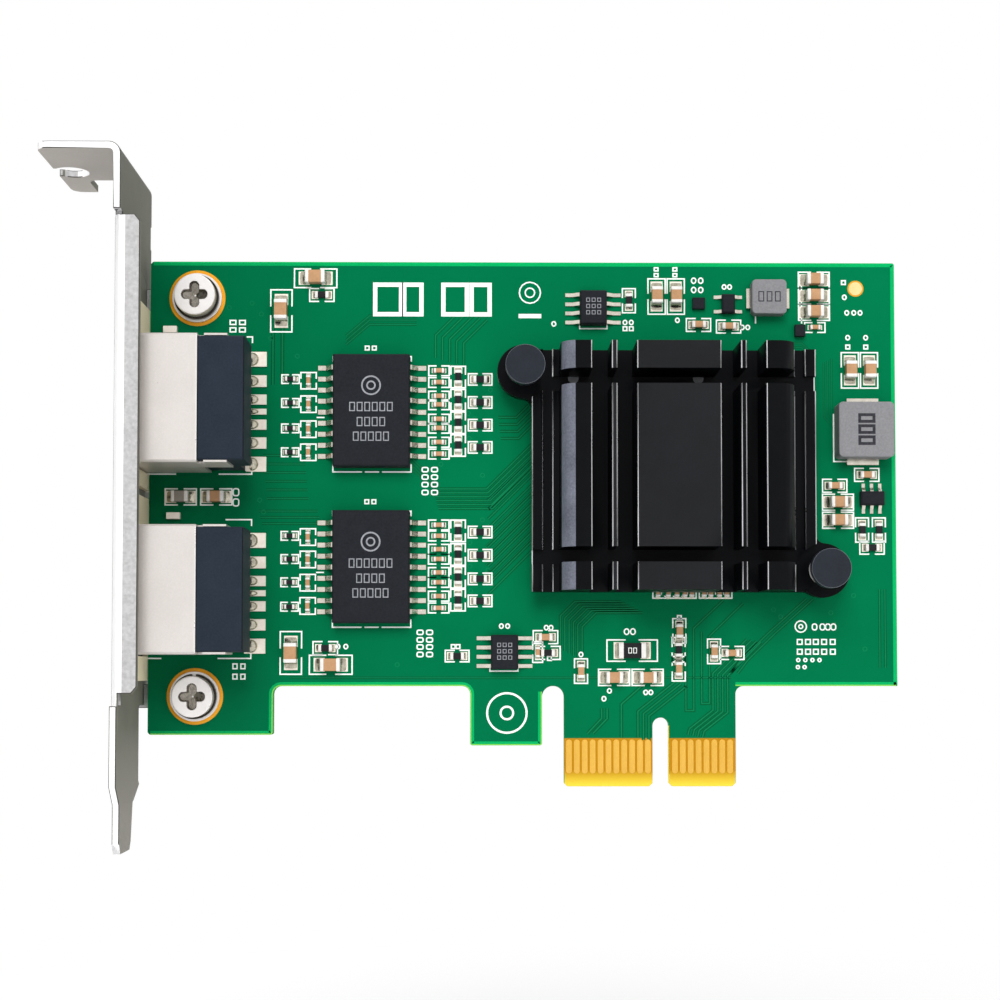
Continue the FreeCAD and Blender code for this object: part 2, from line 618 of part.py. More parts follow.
def make_washers_and_screw(name, height):
    face = "board_thickness / 2"
    washer = new_body("flat_washer_" + name)
    ring = new_sketch(washer, "ring", "XZ_Plane", face)
    add_circle(ring, HOLE_X, height, "flat_washer_radius")
    add_circle(ring, HOLE_X, height, "washer_bore")
    pad(washer, ring, "flat_washer_thickness")
    keep(washer)

    lock_low = face + " + flat_washer_thickness"
    lock = new_body("lock_washer_" + name)
    ring = new_sketch(lock, "ring", "XZ_Plane", lock_low)
    add_circle(ring, HOLE_X, height, "lock_washer_radius")
    add_circle(ring, HOLE_X, height, "washer_bore")
    pad(lock, ring, "lock_washer_thickness")
    split = new_sketch(lock, "split", "XZ_Plane", lock_low)
    add_rectangle(split, "%s - lock_washer_gap / 2" % HOLE_X, height,
                  "%s + lock_washer_gap / 2" % HOLE_X, height + " + lock_washer_radius + spare")
    cut(lock, split, "lock_washer_thickness", along=True)
    keep(lock)

    head_low = lock_low + " + lock_washer_thickness"
    screw = new_body("bracket_screw_" + name)
    profile = new_sketch(screw, "profile", "XY_Plane", height)
    seat = "-(%s)" % head_low
    crown = "%s - screw_head_height" % seat
    end = "%s + sheet + screw_end_gap" % BACK
    axis = HOLE_X
    add_outline(profile, (
        (axis, crown),
        ("%s + screw_head_radius" % axis, crown),
        ("%s + screw_head_radius" % axis, seat),
        ("%s + screw_radius" % axis, seat),
        ("%s + screw_radius" % axis, end),
        (axis, end)))
    turn = screw.newObject("PartDesign::Revolution", screw.Name + "_turn")
    turn.Profile = profile
    turn.ReferenceAxis = (profile, ["Edge%d" % profile.GeometryCount])
    turn.Angle = 360
    cross = new_sketch(screw, "cross", "XZ_Plane", "%s + screw_head_height" % head_low)
    half = "cross_width / 2"
    points = []
    for a, b in (("half", "reach"), ("half", "half"), ("reach", "half"), ("reach", "-half"),
                 ("half", "-half"), ("half", "-reach"), ("-half", "-reach"), ("-half", "-half"),
                 ("-reach", "-half"), ("-reach", "half"), ("-half", "half"), ("-half", "reach")):
        pair = []
        for middle, word in ((axis, a), (height, b)):
            sign = "-" if word.startswith("-") else "+"
            size = half if word.endswith("half") else "cross_reach"
            pair.append("%s %s %s" % (middle, sign, size))
        points.append(tuple(pair))
    add_outline(cross, points)
    cut(screw, cross, "cross_depth")
    keep(screw)


def make_bracket():
    body = new_body("mounting_bracket")
    outer_round = "bend_radius + sheet"
    side = new_sketch(body, "side", "XZ_Plane", "-(%s)" % FAR_EDGE)
    tab_end = "%s - tab_length" % PLATE_OUTER
    tab_top = "tab_under + sheet"
    add_outline(side, (
        (PLATE_OUTER + " + joggle", "tip_end"),
        (PLATE_OUTER + " + joggle", "joggle_low"),
        (PLATE_OUTER, "joggle_high"),
        (PLATE_OUTER, "tab_under", "bend_radius"),
        (tab_end, "tab_under"),
        (tab_end, tab_top),
        (PLATE_INNER, tab_top, outer_round),
        (PLATE_INNER, "joggle_high"),
        (PLATE_INNER + " + joggle", "joggle_low"),
        (PLATE_INNER + " + joggle", "tip_end")))
    pad(body, side, "near_reach + far_reach")

    # The tongue is narrower than the plate and tapers on its far side.
    taper = new_sketch(body, "taper", "YZ_Plane")
    beyond = FAR_EDGE + " + spare"
    below = "tip_end - spare"
    tip_back = "%s - tip_back" % FRONT
    add_outline(taper, (
        (beyond, "shoulder"),
        ("%s - tongue_back" % FRONT, "shoulder", "bend_radius"),
        ("%s - tongue_back" % FRONT, "taper_high"),
        ("%s - taper_back" % FRONT, "taper_low"),
        (tip_back, "tip_end + tip_corner"),
        (tip_back + " - tip_corner * 0.7", "tip_end"),
        (tip_back + " - tip_corner * 0.7", below),
        (beyond, below)))
    cut(body, taper)
    near_tip = new_sketch(body, "near_tip", "YZ_Plane")
    add_outline(near_tip, (
        (NEAR_EDGE + " - spare", "tip_end + tip_corner * 1.3"),
        (NEAR_EDGE, "tip_end + tip_corner * 1.3"),
        (NEAR_EDGE + " + tip_corner * 0.8", "tip_end"),
        (NEAR_EDGE + " + tip_corner * 0.8", below),
        (NEAR_EDGE + " - spare", below)))
    cut(body, near_tip)
    waist = new_sketch(body, "waist", "YZ_Plane")
    add_rectangle(waist, FAR_EDGE + " - narrow_depth", "narrow_low", beyond, "narrow_high")
    cut(body, waist)

    # Windows for the two jacks.
    windows = new_sketch(body, "windows", "YZ_Plane")
    for middle in ("jack_low", "jack_high"):
        add_rectangle(
            windows,
            "%s - jack_height - window_play" % FRONT,
            "%s - jack_width / 2 - window_play" % middle,
            "%s + window_play" % FRONT,
            "%s + jack_width / 2 + window_play" % middle)
    cut(body, windows)

    # Slots that the two ears were lanced from.
    slots = new_sketch(body, "ear_slots", "YZ_Plane")
    for height in ("hole_low", "hole_high"):
        add_rectangle(slots, BACK + " + sheet + bend_radius", height + " - ear_neck / 2",
                      FAR_EDGE + " - sheet * 0.6", height + " + ear_neck / 2")
    cut(body, slots)

    # Screw notch, outer corners and side cut-out of the tab.
    plan = new_sketch(body, "plan", "XY_Plane", tab_top)
    side_left = "%s - side_cut_width" % PLATE_OUTER
    side_bottom = "%s - side_cut_front" % FRONT
    add_outline(plan, (
        (side_left, beyond),
        (side_left, side_bottom, "side_cut_corner"),
        (PLATE_OUTER + " - bend_radius", side_bottom),
        (PLATE_OUTER + " - bend_radius", beyond)))
    cut(body, plan, "sheet + thread_play")
    notch = new_sketch(body, "notch", "XY_Plane", tab_top)
    notch_y = "%s - notch_front" % FRONT
    notch_x = "%s - notch_reach" % PLATE_OUTER
    add_circle(notch, notch_x, notch_y, "notch_radius")
    cut(body, notch, "sheet + thread_play")
    mouth = new_sketch(body, "mouth", "XY_Plane", tab_top)
    add_rectangle(mouth, tab_end + " - spare", notch_y + " - notch_mouth / 2",
                  notch_x, notch_y + " + notch_mouth / 2")
    cut(body, mouth, "sheet + thread_play")
    doc.recompute()
    blank = body.Tip
    corners = []
    for index, edge in enumerate(blank.Shape.Edges, start=1):
        box = edge.BoundBox
        upright = box.XLength < 1e-6 and box.YLength < 1e-6
        at_end = abs(box.XMin - number(tab_end)) < 1e-4
        at_side = min(abs(box.YMin - number(NEAR_EDGE)), abs(box.YMin - number(FAR_EDGE))) < 1e-4
        if upright and at_end and at_side:
            corners.append("Edge%d" % index)
    rounding = body.newObject("PartDesign::Fillet", "mounting_bracket_tab_corners")
    rounding.Base = (blank, corners)
    bind(rounding, "Radius", "tab_corner")

    # Side flange: the plate's near strip is cut back and replaced by the bend.
    bend_low = "(flange_low - bend_below)"
    strip = new_sketch(body, "strip", "YZ_Plane", PLATE_OUTER + " - spare")
    add_rectangle(strip, NEAR_EDGE + " - spare", bend_low, NEAR_EDGE + " + " + outer_round,
                  "flange_high + relief")
    cut(body, strip, "sheet + spare * 2", along=True)
    bend = new_sketch(body, "bend", "XY_Plane", bend_low)
    inner_y = NEAR_EDGE + " + sheet"
    inside = NEAR_EDGE + " + " + outer_round + " + bend_radius"
    add_outline(bend, (
        (PLATE_OUTER, inside),
        (PLATE_OUTER, NEAR_EDGE, outer_round),
        (PLATE_OUTER + " + flange_reach", NEAR_EDGE),
        (PLATE_OUTER + " + flange_reach", inner_y),
        (PLATE_INNER, inner_y, "bend_radius"),
        (PLATE_INNER, inside)))
    pad(body, bend, "flange_high - %s" % bend_low)
    trim = new_sketch(body, "trim", "XZ_Plane", "-(%s) + spare" % NEAR_EDGE)
    edge_x = PLATE_OUTER + " + flange_reach"
    for level, sign, start in (("flange_low", "+", PLATE_INNER),
                               ("flange_high", "-", edge_x + " - flange_corner")):
        outside = "-" if sign == "+" else "+"
        corners = [
            (edge_x + " - flange_corner", level),
            (edge_x, "%s %s flange_corner * 1.2" % (level, sign)),
            (edge_x + " + spare", "%s %s flange_corner * 1.2" % (level, sign)),
            (edge_x + " + spare", "%s %s spare * 2" % (level, outside)),
            (start, "%s %s spare * 2" % (level, outside))]
        if sign == "+":
            corners.append((start, level))
        add_outline(trim, corners)
    cut(body, trim, "sheet + spare + thread_play")

    # Ears behind the board, each with a tapped hole.
    for name, height in (("upper", "hole_high"), ("lower", "hole_low")):
        neck = new_sketch(body, name + "_neck", "XZ_Plane", "-(%s) - sheet" % BACK)
        add_rectangle(neck, PLATE_OUTER, height + " - ear_neck / 2", HOLE_X, height + " + ear_neck / 2")
        pad(body, neck, "sheet")
        end = new_sketch(body, name + "_end", "XZ_Plane", "-(%s) - sheet" % BACK)
        add_circle(end, HOLE_X, height, "ear_radius")
        pad(body, end, "sheet")
    taps = new_sketch(body, "taps", "XZ_Plane")
    for height in ("hole_low", "hole_high"):
        add_circle(taps, HOLE_X, height, "screw_radius + thread_play")
    cut(body, taps, "far_reach + board_thickness")
    return keep(body)


def plug_outline(middle, floor):
    """Front outline of the plug cavity, in (Y, Z): wide mouth, latch step, latch slot."""
    top = "%s - plug_height" % floor
    step = "%s - latch_height" % top
    slot = "%s - latch_slot_height" % step
    wide = "plug_width / 2"
    mid = "latch_width / 2"
    thin = "latch_slot_width / 2"
    return (
        (floor, "%s - %s" % (middle, wide)),
        (top, "%s - %s" % (middle, wide)),
        (top, "%s - %s" % (middle, mid)),
        (step, "%s - %s" % (middle, mid)),
        (step, "%s - %s" % (middle, thin)),
        (slot, "%s - %s" % (middle, thin)),
        (slot, "%s + %s" % (middle, thin)),
        (step, "%s + %s" % (middle, thin)),
        (step, "%s + %s" % (middle, mid)),
        (top, "%s + %s" % (middle, mid)),
        (top, "%s + %s" % (middle, wide)),
        (floor, "%s + %s" % (middle, wide)))


def make_jack(name, middle):
    top = "%s - jack_height" % FRONT
    low = "%s - jack_width / 2" % middle
    high = "%s + jack_width / 2" % middle
    plug_floor = "%s - plug_floor" % FRONT

    shield = new_body("jack_shield_" + name)
    outer = new_sketch(shield, "outer", "YZ_Plane", JACK_FRONT)
    add_rectangle(outer, top, low, FRONT, high, "shield_sheet", "cut")
    pad(shield, outer, "shield_length")
    inner = new_sketch(shield, "inner", "YZ_Plane", JACK_FRONT + " + shield_sheet")
    add_rectangle(inner, top + " + shield_sheet", low + " + shield_sheet",
                  "%s - shield_sheet" % FRONT, high + " - shield_sheet")
    cut(shield, inner, "shield_length", along=True)
    mouth = new_sketch(shield, "mouth", "YZ_Plane", JACK_FRONT)
    add_outline(mouth, plug_outline(middle, plug_floor))
    cut(shield, mouth, "shield_sheet", along=True)
    for side, edge, sign in (("low", low, "+"), ("high", high, "-")):
        start = edge if sign == "+" else "%s - shield_sheet" % edge
        tail = new_sketch(shield, side + "_tail", "XY_Plane", start)
        tail_high = top + " + tail_top"
        tail_end = SHIELD_REAR + " + tail_length"
        add_outline(tail, (
            (SHIELD_REAR + " - shield_sheet", tail_high + " + tail_step"),
            (SHIELD_REAR + " + tail_gap", tail_high + " + tail_step"),
            (SHIELD_REAR + " + tail_gap", tail_high),
            (tail_end, tail_high),
            (tail_end, tail_high + " + tail_drop"),
            (SHIELD_REAR + " - shield_sheet", tail_high + " + tail_drop")))
        pad(shield, tail, "shield_sheet")
    keep(shield)

    housing = new_body("jack_housing_" + name)
    front = new_sketch(housing, "front", "YZ_Plane", JACK_FRONT + " + shield_sheet")
    add_rectangle(front, top + " + shield_sheet", low + " + shield_sheet",
                  "%s - shield_sheet" % FRONT, high + " - shield_sheet")
    pad(housing, front, "shield_length - shield_sheet")
    rear = new_sketch(housing, "rear", "YZ_Plane", SHIELD_REAR)
    inset = "shield_sheet + housing_inset / 4"
    add_rectangle(rear, top + " + housing_inset", "%s + %s" % (low, inset), FRONT,
                  "%s - (%s)" % (high, inset), "housing_inset", "cut")
    pad(housing, rear, "housing_length - shield_length")
    cavity = new_sketch(housing, "cavity", "YZ_Plane", JACK_FRONT)
    add_outline(cavity, plug_outline(middle, plug_floor))
    cut(housing, cavity, "plug_depth", along=True)
    channel = new_sketch(housing, "channel", "YZ_Plane", JACK_FRONT + " + plug_depth - contact_root")
    add_rectangle(channel, "%s - wire_thickness" % plug_floor, "%s - wire_pitch * 4" % middle,
                  "%s + contact_sink" % plug_floor, "%s + wire_pitch * 4" % middle)
    cut(housing, channel, "contact_root", along=True)
    recess = new_sketch(housing, "recess", "XY_Plane", low)
    add_rectangle(recess, JACK_REAR + " - undercut", "%s - undercut_height" % FRONT,
                  JACK_REAR + " + spare", FRONT + " + spare")
    cut(housing, recess, "jack_width", along=True)
    keep(housing)

    wires = new_body("jack_contacts_" + name)
    first = "%s - 3.5 * wire_pitch - wire_width / 2" % middle
    strip = new_sketch(wires, "strip", "XY_Plane", first)
    root_x = JACK_FRONT + " + plug_depth"
    root_low = "%s + contact_sink" % plug_floor
    free_x = root_x + " - contact_reach"
    add_outline(strip, (
        (root_x, root_low),
        (root_x + " - contact_root", root_low),
        (root_x + " - contact_root", root_low + " - wire_thickness"),
        (root_x + " - contact_bend * 2", root_low + " - wire_thickness"),
        (root_x + " - contact_bend", "%s - contact_rise" % plug_floor),
        (free_x, "%s - contact_lift" % plug_floor),
        (free_x, "%s - contact_lift - wire_thickness" % plug_floor),
        (root_x, "%s - contact_rise - wire_thickness" % plug_floor)))
    one = pad(wires, strip, "wire_width")
    repeat(wires, one, strip, "N_Axis", 8, "wire_pitch")
    keep(wires)

    feet = new_body("jack_feet_" + name)
    rear_face = JACK_REAR + " - undercut"
    for index, (offset, width) in enumerate(JACK_FEET):
        foot = new_sketch(feet, "foot_%d" % index, "XY_Plane",
                          "%s + jack_width * (%s - %s / 2)" % (middle, offset, width))
        add_outline(foot, (
            (rear_face, FRONT),
            (rear_face + " + foot_reach", FRONT),
            (rear_face + " + foot_reach", "%s - foot_thickness" % FRONT),
            (rear_face + " + foot_slope", "%s - foot_thickness" % FRONT),
            (rear_face + " + foot_thickness", "%s - foot_rise" % FRONT),
            (rear_face, "%s - foot_rise" % FRONT)))
        pad(feet, foot, "jack_width * %s" % width)
    keep(feet)

    gasket = new_body("jack_gasket_" + name)
    frame = new_sketch(gasket, "frame", "YZ_Plane", PLATE_INNER)
    centre = middle.replace("jack", "gasket")
    add_rectangle(frame, NEAR_EDGE + " + sheet + bend_radius + gasket_play",
                  "%s - gasket_height / 2" % centre,
                  "%s + gasket_back" % FRONT, "%s + gasket_height / 2" % centre)
    add_rectangle(frame, top + " - gasket_play", low + " - gasket_play",
                  "%s + gasket_play" % FRONT, high + " + gasket_play")
    pad(gasket, frame, "bracket_gap - gasket_end")
    keep(gasket)


def soften_ears(body):
    """Hollow fillets where the round ears leave the straight sides of the base."""
    doc.recompute()
    base = body.Tip
    hollows = []
    for index, edge in enumerate(base.Shape.Edges, start=1):
        box = edge.BoundBox
        if box.XLength > 1e-3 or box.ZLength > 1e-3:
            continue
        for side, up in ((-1, 1), (1, -1)):
            away_x = box.Center.x - number("sink_x") - side * number(EAR_X)
            away_z = box.Center.z - number("sink_z") - up * number(EAR_Z)
            if abs(math.hypot(away_x, away_z) - number("sink_ear_radius")) < 1e-3:
                hollows.append("Edge%d" % index)
    fillet = body.newObject("PartDesign::Fillet", "heatsink_hollows")
    fillet.Base = (base, hollows)
    bind(fillet, "Radius", "ear_fillet")


def make_heatsink():
    body = new_body("heatsink")
    left = "sink_x - sink_width / 2"
    right = "sink_x + sink_width / 2"
    low = "sink_z - sink_height / 2"
    high = "sink_z + sink_height / 2"
    under = "board_thickness / 2 + %s" % SINK_UNDER
    base = new_sketch(body, "base", "XZ_Plane", under)
    add_rectangle(base, left, low, right, high, "sink_corner", "cut")
    pad(body, base, "sink_base")
    for name, side, up in (("upper", "-", "+"), ("lower", "+", "-")):
        ear = new_sketch(body, name + "_ear", "XZ_Plane", under)
        add_circle(ear, "sink_x %s %s" % (side, EAR_X), "sink_z %s %s" % (up, EAR_Z), "sink_ear_radius")
        pad(body, ear, "sink_base")

    soften_ears(body)

    # Fins and rails, drawn from above and run the whole height of the base.
    fins = new_sketch(body, "fins", "XY_Plane", low)
    floor = "%s - %s + sink_base / 2" % (FRONT, SINK_TOP)
    crest = "%s - %s - sink_fins" % (FRONT, SINK_TOP)
    add_rectangle(fins, "sink_x - block_width / 2", crest, "sink_x + block_width / 2", floor)
    for side in ("-", "+"):
        def at(offset):
            return "sink_x %s (%s)" % (side, offset)
        add_rectangle(fins, at(THIN_FIN + " - thin_fin_width / 2"), crest,
                      at(THIN_FIN + " + thin_fin_width / 2"), floor)
        outer_fin = OUTER_FIN + " + outer_fin_width"
        strip_top = "%s - %s - strip_height" % (FRONT, SINK_TOP)
        rail_top = "%s - %s - rail_height" % (FRONT, SINK_TOP)
        add_outline(fins, (
            (at(OUTER_FIN), floor),
            (at(OUTER_FIN), crest),
            (at(outer_fin), crest, "outer_fin_round"),
            (at(outer_fin), strip_top),
            (at(outer_fin + " + strip_width"), strip_top),
            (at(outer_fin + " + strip_width"), floor)))
        add_rectangle(fins, at("sink_width / 2 - rail_width"), rail_top, at("sink_width / 2"), floor)
    pad(body, fins, "sink_height")

    saw = new_sketch(body, "saw", "YZ_Plane")
    for level in ("%s + end_row" % low, "%s - end_row - cut_width" % high):
        add_rectangle(saw, crest + " - spare", level, "%s - %s" % (FRONT, SINK_TOP), level + " + cut_width")
    cut(body, saw)

    # The fins end short of the push pins.
    for name, side, up in (("upper", "-", "+"), ("lower", "+", "-")):
        room = new_sketch(body, name + "_room", "XZ_Plane", "board_thickness / 2 + " + SINK_TOP)
        add_circle(room, "sink_x %s %s" % (side, EAR_X), "sink_z %s %s" % (up, EAR_Z), "sink_ear_radius")
        cut(body, room, "sink_fins + spare", along=True)
    bores = new_sketch(body, "bores", "XZ_Plane")
    for side, up in (("-", "+"), ("+", "-")):
        add_circle(bores, "sink_x %s %s" % (side, EAR_X), "sink_z %s %s" % (up, EAR_Z), "sink_ear_bore")
    cut(body, bores)
    keep(body)

    keep(mounted_box("controller_chip", "sink_x", "sink_z", "chip_width", "chip_width", "chip_height"))
    keep(mounted_box("thermal_pad", "sink_x", "sink_z", "thermal_width", "thermal_width",
                     "thermal_thickness", "chip_height"))


def make_push_pin(name, x, z):
    pin = new_body("push_pin_" + name)
    profile = new_sketch(pin, "profile", "XY_Plane", z)
    under_head = "%s - pin_head_lift" % FRONT
    top = under_head + " - pin_head_height"
    barb = BACK + " + pin_barb_gap"
    tip = barb + " + pin_barb_length"
    add_outline(profile, (
        (x, top),
        (x + " + pin_head_radius", top),
        (x + " + pin_head_radius", under_head),
        (x + " + pin_radius", under_head),
        (x + " + pin_radius", barb),
        (x + " + pin_barb_radius", barb),
        (x + " + pin_radius * 0.6", tip),
        (x, tip)))
    turn = pin.newObject("PartDesign::Revolution", pin.Name + "_turn")
    turn.Profile = profile
    turn.ReferenceAxis = (profile, ["Edge%d" % profile.GeometryCount])
    turn.Angle = 360
    keep(pin)

    spring = new_body("pin_spring_" + name)
    seat = "board_thickness / 2 + %s + spring_wire + seat_gap" % SINK_TOP
    length = "pin_head_lift - %s - 2 * spring_wire - 2 * seat_gap" % SINK_TOP
    wire = new_sketch(spring, "wire", "XY_Plane", z)
    add_diamond(wire, x + " + spring_radius", "-(%s)" % seat, "spring_wire")
    axis = spring.newObject("Sketcher::SketchObject", spring.Name + "_axis")
    plane = [item for item in spring.Origin.OriginFeatures if item.Role == "XY_Plane"][0]
    axis.AttachmentSupport = [(plane, "")]
    axis.MapMode = "FlatFace"
    bind(axis, "AttachmentOffset.Base.z", z)
    line = axis.addGeometry(Part.LineSegment(
        FreeCAD.Vector(number(x), 0, 0), FreeCAD.Vector(number(x), -1, 0)))
    add_places(axis, ((line, 1, 0, x), (line, 1, 1, "0"), (line, 2, 0, x), (line, 2, 1, "-1")))
    coil = spring.newObject("PartDesign::AdditiveHelix", spring.Name + "_coil")
    coil.Profile = wire
    coil.ReferenceAxis = (axis, ["Edge1"])
    coil.Mode = "height-turns-angle"
    bind(coil, "Height", length)
    bind(coil, "Turns", "spring_turns")
    coil.Angle = 0
    keep(spring)


def lead_profile(edge, out, height, reach):
    """Gull-wing lead seen from its side: foot on the board, riser, shoulder in the body."""
    def step(distance):
        return "%s %s (%s)" % (edge, out, distance)
    shoulder = "%s - (%s) * %s" % (FRONT, height, LEAD_SHOULDER)
    return (
        (step("0"), shoulder),
        (step("(%s) * %s" % (reach, LEAD_KNEE)), shoulder),
        (step("(%s) * %s" % (reach, LEAD_TOE)), "%s - lead_thickness" % FRONT),
        (step(reach), "%s - lead_thickness" % FRONT),
        (step(reach), FRONT),
        (step("(%s) * %s" % (reach, LEAD_HEEL)), FRONT),
        (step("0"), shoulder + " + lead_thickness * 1.2"))


def make_leads(body, tag, along, x, z, half, reach, height, pitch, width, counts):
    """Two rows of leads: counts = leads on the negative and on the positive side.

    along is the way that the leads point: "X" to the sides or "Z" up and down.
    """
    for side, out, count in (("low", "-", counts[0]), ("high", "+", counts[1])):
        spread = "(%d) * (%s) / 2 + (%s) / 2" % (count - 1, pitch, width)
        if along == "X":
            row = new_sketch(body, tag + side, "XY_Plane", "%s - (%s)" % (z, spread))
            edge = "%s %s (%s)" % (x, out, half)
            add_outline(row, lead_profile(edge, out, height, reach))
        else:
            row = new_sketch(body, tag + side, "YZ_Plane", "%s - (%s)" % (x, spread))
            edge = "%s %s (%s)" % (z, out, half)
            add_outline(row, [(b, a) for a, b in lead_profile(edge, out, height, reach)])
        one = pad(body, row, width)
        if count > 1:
            repeat(body, one, row, "N_Axis", count, pitch)


def make_package(name, x, z, width, length, height):
    """Moulded package with its upper edges bevelled, held just above the board."""
    body = new_body(name)
    add_package(body, "", x, z, width, length, height)
    return keep(body)


def add_package(body, tag, x, z, width, length, height):
    base = new_sketch(body, tag + "base", "XZ_Plane", "board_thickness / 2 + package_lift")
    add_rectangle(base, "%s - (%s) / 2" % (x, width), "%s - (%s) / 2" % (z, length),
                  "%s + (%s) / 2" % (x, width), "%s + (%s) / 2" % (z, length))
    block = pad(body, base, "%s - package_lift" % height)
    doc.recompute()
    level = number("%s - (%s)" % (FRONT, height))
    rims = []
    for index, edge in enumerate(block.Shape.Edges, start=1):
        box = edge.BoundBox
        inside_x = abs(box.Center.x - number(x)) < number(width) / 2 + 1e-3
        inside_z = abs(box.Center.z - number(z)) < number(length) / 2 + 1e-3
        if abs(box.YMax - level) < 1e-4 and inside_x and inside_z:
            rims.append("Edge%d" % index)
    bevel = body.newObject("PartDesign::Chamfer", body.Name + "_" + tag + "bevel")
    bevel.Base = (block, rims)
    bind(bevel, "Size", "package_chamfer")


def make_packages():
    for name in ("upper", "lower"):
        z = "magnetics_high" if name == "upper" else "magnetics_low"
        make_package("magnetics_" + name, "magnetics_x", z, "magnetics_width",
                     "magnetics_length", "magnetics_height")
        leads = new_body("magnetics_leads_" + name)
        make_leads(leads, "", "X", "magnetics_x", z, "magnetics_width / 2", "magnetics_reach",
                   "magnetics_height", "magnetics_pitch", "magnetics_lead", (9, 9))
        keep(leads)
    for name in ("upper", "lower"):
        x = "memory_%s_x" % name
        z = "memory_%s_z" % name
        make_package("memory_chip_" + name, x, z, "memory_width", "memory_length", "memory_height")
        leads = new_body("memory_leads_" + name)
        make_leads(leads, "", "X", x, z, "memory_width / 2", "memory_reach", "memory_height",
                   "memory_pitch", "memory_lead", (4, 4))
        keep(leads)
    chips = new_body("small_chips")
    add_package(chips, "switch_", "switch_x", "switch_z", "switch_width", "switch_depth", "switch_height")
    add_package(chips, "regulator_", "regulator_x", "regulator_z", "regulator_width",
                "regulator_length", "regulator_height")
    keep(chips)
    leads = new_body("small_chip_leads")
    make_leads(leads, "switch_", "Z", "switch_x", "switch_z", "switch_depth / 2", "switch_reach",
               "switch_height", "switch_pitch", "small_lead", (3, 3))
    make_leads(leads, "regulator_", "X", "regulator_x", "regulator_z", "regulator_width / 2",
               "regulator_reach", "regulator_height", "regulator_pitch", "small_lead", (2, 2))
    keep(leads)
    blocks = []
    for index, (x, z, width, length, height) in enumerate(TINY_BLOCKS):
        blocks.append(mounted_box("tiny_block_%d" % index, "%s * grid" % x, "%s * grid" % z,
                                  "%s * grid" % width, "%s * grid" % length, "%s * grid" % height))
    keep(new_group("tiny_transistors", blocks))


def make_inductors():
    for name, prefix in (("inductor_small", "choke"), ("inductor_large", "coil")):
        x = prefix + "_x"
        z = prefix + "_z"
        width = prefix + "_width"
        body = new_body(name)
        base = new_sketch(body, "base", "XZ_Plane", "board_thickness / 2 + plating")
        add_rectangle(base, "%s - %s / 2" % (x, width), "%s - %s / 2" % (z, width),
                      "%s + %s / 2" % (x, width), "%s + %s / 2" % (z, width), "inductor_corner")
        pad(body, base, prefix + "_height - plating")
        grip = new_sketch(body, "grip", "XZ_Plane", "board_thickness / 2 + plating")
        reach = "%s / 2" % width
        half = "%s * %s / 2" % (width, TERMINAL_SHARE)
        for side in ("-", "+"):
            inner = "%s %s (%s - terminal_root)" % (x if prefix == "choke" else z, side, reach)
            outer = "%s %s (%s + terminal_play)" % (x if prefix == "choke" else z, side, reach)
            low, high = (outer, inner) if side == "-" else (inner, outer)
            if prefix == "choke":
                add_rectangle(grip, low, "%s - %s" % (z, half), high, "%s + %s" % (z, half))
            else:
                add_rectangle(grip, "%s - %s" % (x, half), low, "%s + %s" % (x, half), high)
        cut(body, grip, "terminal_height", along=True)
        keep(body)
    ends = []
    for side in ("-", "+"):
        ends.append(mounted_box(
            "choke_end_" + ("low" if side == "-" else "high"),
            "choke_x %s (choke_width / 2 + choke_terminal / 2 - terminal_root / 2)" % side, "choke_z",
            "choke_terminal + terminal_root", "choke_width * %s" % TERMINAL_SHARE, "terminal_height"))
        ends.append(mounted_box(
            "coil_end_" + ("low" if side == "-" else "high"),
            "coil_x", "coil_z %s (coil_width / 2 + coil_terminal / 2 - terminal_root / 2)" % side,
            "coil_width * %s" % TERMINAL_SHARE, "coil_terminal + terminal_root", "terminal_height"))
    keep(new_group("inductor_terminals", ends))


def chip_row(name, size, height, places):
    """Leadless parts flat on the board; each place is its middle and the way it lies."""
    blocks = []
    for index, (x, z, along) in enumerate(places):
        length, width = size + "_length", size + "_width"
        if along == "Z":
            length, width = width, length
        blocks.append(mounted_box("%s_%d" % (name, index), "%s * grid" % x, "%s * grid" % z,
                                  length, width, height))
    return blocks


def in_rows(rows):
    """The places of the parts in each of the rows."""
    return [(x, height, along) for x, along, heights in rows for height in heights]


def make_chip_parts():
    keep(new_group("ceramic_capacitors",
                   chip_row("large_capacitor", "large", "large_height", LARGE_CAPACITORS)
                   + chip_row("medium_capacitor", "medium", "medium_height", MEDIUM_CAPACITORS)))
    tiny = list(TINY_CAPACITORS)
    tiny += [(x, BYPASS_HEIGHT, "Z") for x in BYPASS_ROW]
    tiny += in_rows(PAIR_CAPACITORS)
    keep(new_group("small_capacitors",
                   chip_row("small_capacitor", "small", "small_height", SMALL_CAPACITORS)
                   + chip_row("tiny_capacitor", "tiny", "tiny_height", tiny)))
    keep(new_group("chip_resistors",
                   chip_row("resistor", "small", "resistor_height",
                            list(SMALL_RESISTORS) + in_rows(PAIR_ARRAYS))
                   + chip_row("tiny_resistor", "tiny", "tiny_height", in_rows(PAIR_RESISTORS))))
    keep(mounted_box("shunt_resistor", "shunt_x", "shunt_z",
                     "shunt_length", "shunt_width", "shunt_height"))
    lamps = [(x, z, "X") for x, z in STATUS_LAMPS]
    keep(new_group("status_lamps", chip_row("lamp", "small", "small_height", lamps)))


make_board()
make_contacts()
make_washers_and_screw("upper", "hole_high")
make_washers_and_screw("lower", "hole_low")
make_bracket()
make_jack("upper", "jack_high")
make_jack("lower", "jack_low")
make_heatsink()
make_push_pin("upper", "sink_x - " + EAR_X, "sink_z + " + EAR_Z)
make_push_pin("lower", "sink_x + " + EAR_X, "sink_z - " + EAR_Z)
make_packages()
make_inductors()
make_chip_parts()
doc.recompute()

